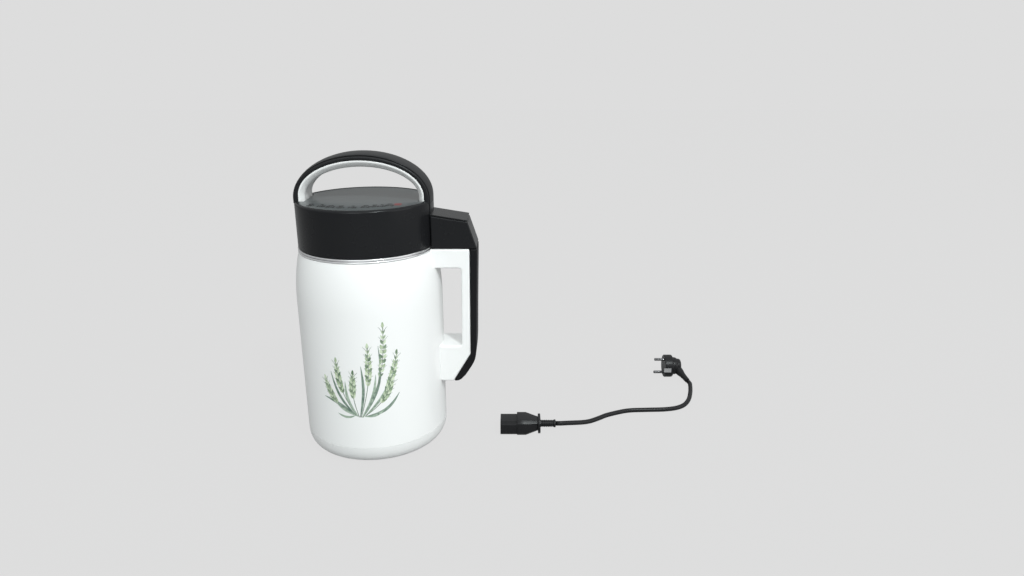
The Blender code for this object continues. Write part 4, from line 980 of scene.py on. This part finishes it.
near_black = (0.0105, 0.0108, 0.0120)
grip_black = (0.0085, 0.0085, 0.0095)
finishes = {
    "white_shell": plastic("white_gloss_plastic", (0.87, 0.87, 0.865), 0.24, 0.05, 0.00003),
    "white_base": plastic("white_base_plastic", (0.79, 0.79, 0.785), 0.28, 0.05, 0.00003),
    "white_lining": plastic("white_lining_plastic", (0.84, 0.84, 0.835), 0.30, 0.06, 0.00004),
    "black_gloss": plastic("black_gloss_plastic", near_black, 0.27, 0.06, 0.00002, 0.16),
    "black_arch": plastic("black_arch_plastic", near_black, 0.40, 0.06, 0.00001, 0.23),
    "black_grip": plastic("black_grip_plastic", grip_black, 0.46, 0.06, 0.00004, 0.12),
    "panel_glass": plastic("dark_panel_glass", (0.052, 0.061, 0.063), 0.30, 0.05, 0.00001, 1.0),
    "inner_plastic": plastic("black_inner_plastic", (0.045, 0.045, 0.048), 0.50, 0.10, 0.00008),
}
print("plastics:", ", ".join(finishes))

# %% [markdown]
# Rubber, silicone and the cable's outer skin are matt and have a finer, rougher grain. The
# circuit board shows its glass weave as a faint check.

# %% Rubber, cable and board
finishes |= {
    "cord_black": plastic("cable_black", (0.010, 0.010, 0.011), 0.36, 0.10, 0.00008, 0.22),
    "foot_rubber": plastic("foot_rubber_black", (0.035, 0.035, 0.036), 0.78, 0.12, 0.00015),
    "silicone": plastic("silicone_grey", (0.62, 0.62, 0.60), 0.55, 0.10, 0.00006),
}
board = Finish("board_green", (0.02, 0.16, 0.07), 0.45)
weave = board.node("ShaderNodeTexChecker", {"Vector": board.place(), "Scale": 900.0}, "Fac")
board.feed("Roughness", 0.38 + weave * 0.14)
board.tint(board.noise(90.0), (0.015, 0.12, 0.055), (0.03, 0.20, 0.09))
finishes["board_green"] = board
print("soft finishes are ready")

# %% [markdown]
# Drawn steel shows fine lines along the way it was brushed or turned. The noise is stretched
# far along one axis, so it falls apart into lines, and these vary both gloss and height. The
# cup's steel is more matt than the other steel, and it is painted paler: that paleness is
# painted light, which keeps the shaded inside of the cup from going dark.


# %% Metals
def brushed(name, color, roughness, spread, stretch, depth):
    """A metal with fine lines across the stretched axis."""
    made = Finish(name, color, roughness, 1.0)
    lines = made.noise(260.0, stretch, 4.0)
    made.feed("Roughness", lines * spread + (roughness - spread / 2))
    made.bump(lines, depth, 0.3)
    return made


turned_lines = (0.05, 0.05, 1.0)
wound_lines = (0.1, 0.1, 1.0)
finishes |= {
    "steel": brushed("drawn_steel", (0.68, 0.68, 0.69), 0.26, 0.14, turned_lines, 0.00003),
    # The cup's steel is painted paler than the other steel, as painted light for the cup's shaded
    # inside.
    "cup_steel_painted_light": brushed("cup_steel_painted_light", (0.84, 0.84, 0.845), 0.42, 0.14, turned_lines, 0.00003),
    "pin_steel": brushed("pin_steel", (0.17, 0.17, 0.175), 0.22, 0.10, (1.0, 0.08, 0.08), 0.00002),
    "chrome": brushed("bright_ring", (0.84, 0.84, 0.85), 0.29, 0.05, (0.03, 0.03, 1.0), 0.00001),
    "aluminium": brushed("cast_aluminium", (0.56, 0.57, 0.58), 0.42, 0.16, (1, 1, 1), 0.00006),
    "iron": brushed("dark_iron", (0.20, 0.20, 0.21), 0.48, 0.16, wound_lines, 0.00006),
    "copper": brushed("wound_copper", (0.70, 0.33, 0.17), 0.34, 0.12, wound_lines, 0.00008),
    "brass": brushed("brass_contact", (0.72, 0.56, 0.27), 0.28, 0.10, (1.0, 0.1, 0.1), 0.00002),
}
print("finishes:", len(finishes))


# %% Put the finishes on
def paint(piece, made):
    """Give a whole piece one finish."""
    piece.data.materials.clear()
    piece.data.materials.append(made.material)


for slot, pieces in (
        ("white_shell", [jug_shell]), ("white_base", [base]), ("white_lining", [arch_lining]),
        ("black_gloss", [head_shell]), ("black_arch", [arch_shell, arch_strip]),
        ("black_grip", [grip]), ("panel_glass", [panel]), ("chrome", [rim_ring]),
        ("cup_steel_painted_light", [cup]), ("silicone", [seal]), ("pin_steel", pins),
        ("steel", [motor_cover, sleeve, cap_nut, shaft, *probes]),
        ("cord_black", [relief, plug, cord])):
    for piece in pieces:
        paint(piece, finishes[slot])
slots = {part["node"]: part["material_slot"] for part in frame["record"]["subparts"]}
for name, node in frame["nodes"].items():
    for place in node.material_slots:
        place.material = finishes[slots[name]].material
print("finishes are on", len(frame["nodes"]), "nodes")

# %% [markdown]
# The front of the jug carries a printed plant. Its place and colours follow the photograph,
# while the drawing is a plain one of its own: bowed stalks of grain with long leaves. Each
# grain is a flat oval and each leaf a flat blade, bent round the jug just proud of its wall.

# %% Print on the jug
print_radius = 0.07995
slice_width = 0.0025
mark_depth = 0.0001


def on_jug(u, v):
    """Bend a flat place onto the jug's front: u runs to the right, v up."""
    angle = -pi / 2 + u / print_radius
    return Vector((print_radius * cos(angle), print_radius * sin(angle), v))


def inlay(name, shapes):
    """Thin closed inlays drawn in the flat, sliced upright and bent round the jug."""
    flat = bmesh.new()
    for outline in shapes:
        flat.faces.new([flat.verts.new((u, v, 0)) for u, v in outline])
    for i in range(-18, 19):
        whole = [*flat.verts, *flat.edges, *flat.faces]
        bmesh.ops.bisect_plane(flat, geom=whole, dist=same_place, plane_co=(i * slice_width, 0, 0),
                               plane_no=(1, 0, 0))
    for point in flat.verts:
        point.co = on_jug(point.co.x, point.co.y)
    return modified(piece_of(name, flat), "SOLIDIFY", thickness=mark_depth, offset=0.0)


def beside(u, v, way, lean):
    """The place at some way to the side of a line that leans by an angle from upright."""
    return (u + way * cos(lean), v - way * sin(lean))


def oval(center, long, wide, lean):
    """A pointed oval that leans by an angle from upright."""
    points = []
    for i in range(12):
        a = tau * i / 12
        along = cos(a) * long / 2
        across = sin(a) * wide / 2 * (1 - 0.30 * cos(a))
        points.append((center[0] + across * cos(lean) + along * sin(lean),
                       center[1] - across * sin(lean) + along * cos(lean)))
    return points


def bowed(foot, tip, bow, count):
    """Places along a bowed line, each with the angle that it leans there."""
    way = Vector((tip[0] - foot[0], tip[1] - foot[1]))
    side = Vector((way.y, -way.x)).normalized()
    places = []
    for i in range(count):
        t = i / (count - 1)
        place = Vector(foot) + way * t + side * bow * sin(pi * t)
        slope = way + side * bow * pi * cos(pi * t)
        places.append((place.x, place.y, atan2(slope.x, slope.y)))
    return places


def ribbon(places, widths):
    """A blade along a line of places, as a row of four-sided steps."""
    edges = []
    for (u, v, lean), width in zip(places, widths):
        edges.append((beside(u, v, -width / 2, lean), beside(u, v, width / 2, lean)))
    return [(one[0], one[1], two[1], two[0]) for one, two in zip(edges, edges[1:])]


# %% Print: ears of grain and blades
ears = (
    ((-0.008, 0.061), (-0.041, 0.099), -0.006, 0),
    ((-0.006, 0.060), (-0.026, 0.121), -0.005, 1),
    ((-0.004, 0.059), (-0.008, 0.108), -0.003, 2),
    ((-0.002, 0.059), (0.009, 0.138), 0.004, 0),
    ((0.000, 0.059), (0.026, 0.160), 0.008, 1),
    ((0.002, 0.060), (0.039, 0.128), 0.007, 2),
    ((0.003, 0.061), (0.033, 0.098), 0.004, 0),
)
long_leaves = (
    ((-0.008, 0.061), (-0.044, 0.079), 0.003, 0.0034, 0),
    ((-0.007, 0.061), (-0.034, 0.084), -0.004, 0.0030, 1),
    ((-0.006, 0.060), (-0.033, 0.110), -0.005, 0.0028, 0),
    ((-0.005, 0.060), (-0.017, 0.100), -0.004, 0.0032, 1),
    ((-0.003, 0.059), (0.001, 0.118), 0.003, 0.0030, 0),
    ((-0.001, 0.059), (0.016, 0.108), 0.004, 0.0032, 1),
    ((0.000, 0.059), (0.020, 0.140), 0.009, 0.0026, 0),
    ((0.002, 0.060), (0.036, 0.112), 0.004, 0.0030, 1),
    ((0.003, 0.060), (0.040, 0.084), 0.006, 0.0034, 0),
    ((0.002, 0.060), (0.024, 0.068), 0.003, 0.0028, 1),
    ((-0.008, 0.061), (-0.028, 0.062), -0.003, 0.0026, 1),
)
grain_offset = 0.0021
hair_length = 0.0075
stem_shapes = []
grain_shapes = ([], [], [])
leaf_shapes = ([], [])
for foot, tip, bow, tone in ears:
    line = bowed(foot, tip, bow, 21)
    stem_shapes += ribbon(line, [0.0007] * 21)
    for i, (u, v, lean) in enumerate(line[10:]):
        swell = sin(pi * (0.22 + 0.70 * i / 10))
        for side in (-1, 1):
            place = beside(u, v, side * grain_offset * swell, lean)
            shape = oval(place, 0.0052, 0.0030 * swell, lean + side * 0.50)
            grain_shapes[(i + tone + (side > 0)) % 3].append(shape)
        if i % 2:
            for side in (-1, 1):
                hair_tip = beside(u, v, side * hair_length, lean - side * 0.9)
                stem_shapes += ribbon(bowed((u, v), hair_tip, 0.0, 3), [0.0005, 0.0004, 0.0002])
    grain_shapes[tone].append(oval((tip[0], tip[1] + 0.0030), 0.0056, 0.0026, line[-1][2]))
for foot, tip, bow, wide, tone in long_leaves:
    line = bowed(foot, tip, bow, 15)
    widths = [wide * sin(pi * (0.05 + 0.93 * i / 14)) ** 0.8 for i in range(15)]
    leaf_shapes[tone].extend(ribbon(line, widths))
print("print:", sum(map(len, grain_shapes)), "grains,", len(long_leaves), "leaves")


# %% Print: inks
def ink(name, low, high):
    """A printed colour that is uneven like a wash."""
    made = Finish(name, low, 0.24)
    made.tint(made.noise(230.0), low, high)
    made.feed("Roughness", made.noise(60.0) * 0.06 + 0.20)
    return made


for name, shapes, low, high in (
        ("print_stems", stem_shapes, (0.13, 0.17, 0.13), (0.22, 0.27, 0.20)),
        ("print_leaves_dark", leaf_shapes[0], (0.10, 0.16, 0.125), (0.28, 0.36, 0.29)),
        ("print_leaves_soft", leaf_shapes[1], (0.24, 0.32, 0.25), (0.46, 0.55, 0.45)),
        ("print_grains_pale", grain_shapes[0], (0.50, 0.60, 0.42), (0.70, 0.76, 0.60)),
        ("print_grains_green", grain_shapes[1], (0.28, 0.38, 0.24), (0.50, 0.58, 0.40)),
        ("print_grains_dark", grain_shapes[2], (0.09, 0.15, 0.09), (0.27, 0.36, 0.24))):
    piece = inlay(name, shapes)
    paint(piece, ink(name.replace("print", "ink"), low, high))
    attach(piece, "jug")
    print(name + ":", len(piece.data.vertices), "points")

# %% [markdown]
# The key marks on the panel are plain shapes without any lettering. Each key has a small ring
# or dot with four short strokes below it, in a dark ink that hardly stands out. The key that
# starts and stops has a red ring with two strokes.

# %% Marks on the touch panel
mark_height = panel_top + 0.00008


def mark(kind, place, size, turn=0.0):
    """One flat mark on the panel."""
    if kind == "ring":
        bpy.ops.mesh.primitive_torus_add(major_radius=size / 2.6, minor_radius=size / 7,
                                         major_segments=24, minor_segments=6, location=(0, 0, 0))
        piece = bpy.context.object
        piece.data.transform(Matrix.Diagonal((1, 1, 0.10, 1)))
    elif kind == "dot":
        piece = disc(size / 3, mark_depth, vertices=20)
    else:
        half = Vector((size / 2, size / 8, mark_depth / 2))
        piece = brick(-half, half)
    return moved(piece, (*place, mark_height), Matrix.Rotation(turn, 4, "Z"))


key_places = (
    (-0.0470, -0.0398), (-0.0351, -0.0424), (-0.0249, -0.0466), (-0.0142, -0.0492),
    (-0.0021, -0.0492), (0.0105, -0.0466), (0.0191, -0.0440), (0.0262, -0.0424),
    (0.0335, -0.0388),
)
marks = []
for i, (x, y) in enumerate(key_places):
    marks.append(mark(("ring", "dot", "ring")[i % 3], (x - 0.0008, y + 0.0042), 0.0050))
    for k in range(4):
        stroke = 0.0046 + 0.0016 * ((i + 2 * k) % 3)
        marks.append(mark("bar", (x + 0.0022 * (k - 1.5), y - 0.0034), stroke, pi / 2))
dark_marks = joined("panel_marks", marks)
red_x, red_y = 0.0412, -0.0345
red_marks = joined("panel_start_mark", [
    mark("ring", (red_x, red_y), 0.0078),
    mark("bar", (red_x, red_y + 0.0012), 0.0056, pi / 2),
    mark("bar", (red_x, red_y - 0.0060), 0.0070),
])
for piece, name, color in ((dark_marks, "mark_ink_dark", (0.018, 0.018, 0.019)),
                           (red_marks, "mark_ink_red", (0.22, 0.050, 0.052))):
    mark_ink = Finish(name, color, 0.5, shine=0.30)
    mark_ink.feed("Roughness", mark_ink.noise(80.0) * 0.1 + 0.45)
    paint(piece, mark_ink)
    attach(piece, "head")
print("marks:", len(marks) + 2)

# %% [markdown]
# The photograph has a plain pale grey ground without a horizon or a clear shadow. The floor and
# the world show one grey to the camera, and a share of it in reflections. The soft light of the
# room comes from above: the world is bright overhead and dim near the horizon.

# %% Floor and world
ground_grey = (0.723, 0.723, 0.723, 1.0)
glow_grey = (0.743, 0.743, 0.743, 1.0)
camera_share = 0.95
glossy_share = 0.20


def ray(nodes, kind):
    """Tell whether a ray of light is of one kind."""
    return nodes.node("ShaderNodeLightPath", output=f"Is {kind} Ray")


bpy.ops.mesh.primitive_plane_add(size=12.0, location=(0, 0, -0.0003))
floor = bpy.context.object
floor.name = "floor"
floor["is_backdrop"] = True
floor_finish = Finish("floor_grey", (0.30, 0.30, 0.30), 0.9)
glow = floor_finish.node("ShaderNodeEmission", {"Color": glow_grey, "Strength": 1.0})
floor_shader = Wire(floor_finish.tree, floor_finish.shader.outputs[0])
glossy_ray = ray(floor_finish, "Glossy")
floor_share = ray(floor_finish, "Camera") * camera_share + glossy_ray * glossy_share
floor_mix = floor_finish.node("ShaderNodeMixShader", {0: floor_share, 1: floor_shader, 2: glow})
floor_out = floor_finish.tree.nodes["Material Output"]
put(floor_finish.tree, floor_out.inputs["Surface"], floor_mix)
paint(floor, floor_finish)

world = bpy.data.worlds.new("studio")
bpy.context.scene.world = world
world.use_nodes = True
world.node_tree.nodes.clear()
studio = Nodes(world.node_tree)
shown = ray(studio, "Camera") + ray(studio, "Transmission") + ray(studio, "Glossy") * glossy_share
toward = studio.node("ShaderNodeTexCoord", output="Generated")
height = studio.node("ShaderNodeSeparateXYZ", {0: toward}, "Z")
overhead = height.maths("MAXIMUM", height, 0.0)
soft_light = studio.node("ShaderNodeBackground", {"Color": (0.975, 1.0, 1.0, 1.0),
                                                  "Strength": overhead * 0.80 + 0.20})
backdrop = studio.node("ShaderNodeBackground", {"Color": ground_grey, "Strength": 1.0})
sky = studio.node("ShaderNodeMixShader", {0: shown, 1: soft_light, 2: backdrop})
world_out = studio.tree.nodes.new("ShaderNodeOutputWorld")
put(studio.tree, world_out.inputs["Surface"], sky)
print("floor and world show", ground_grey[0])

# %% [markdown]
# One lamp does most of the work. It stands at the front right and well above, as the shadows in
# the window of the handle say, and its light is a little cool. A wide, weak lamp at the right
# lifts that side of the jug and draws a soft band down the black drum. Another in front, a
# little to the left, carries the white of the jug round to its left side.

# %% Lamps
jug_middle = Vector((0, 0, 0.15))


def lamp(name, place, size, watts, color=(1, 1, 1)):
    """A square soft lamp at a place, turned towards the jug."""
    bpy.ops.object.light_add(type="AREA", location=place)
    made = bpy.context.object
    made.name = name
    made.data.shape = "SQUARE"
    made.data.size = size
    made.data.energy = watts
    made.data.color = color
    made.rotation_euler = (jug_middle - Vector(place)).to_track_quat("-Z", "Y").to_euler()
    made.visible_camera = False
    return made


key = lamp("key_lamp", (1.093, -1.683, 2.378), 0.24, 48.5, (0.93, 1.0, 1.0))
fill = lamp("fill_lamp", (2.60, -0.80, 1.10), 2.0, 19.0)
front = lamp("front_lamp", (-0.39, -2.22, 1.45), 1.2, 16.7, (0.95, 1.0, 1.0))
print("lamps:", key.name, fill.name, front.name)

# %% [markdown]
# The last cell prints the box of the dressed model and that of the imported one.

# %% Finish
bpy.context.view_layer.update()
visual_box = [list(corner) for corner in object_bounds()]
for title, box in (("model box:", cad_box), ("dressed box:", visual_box)):
    print(title, [[round(v, 4) for v in corner] for corner in box])
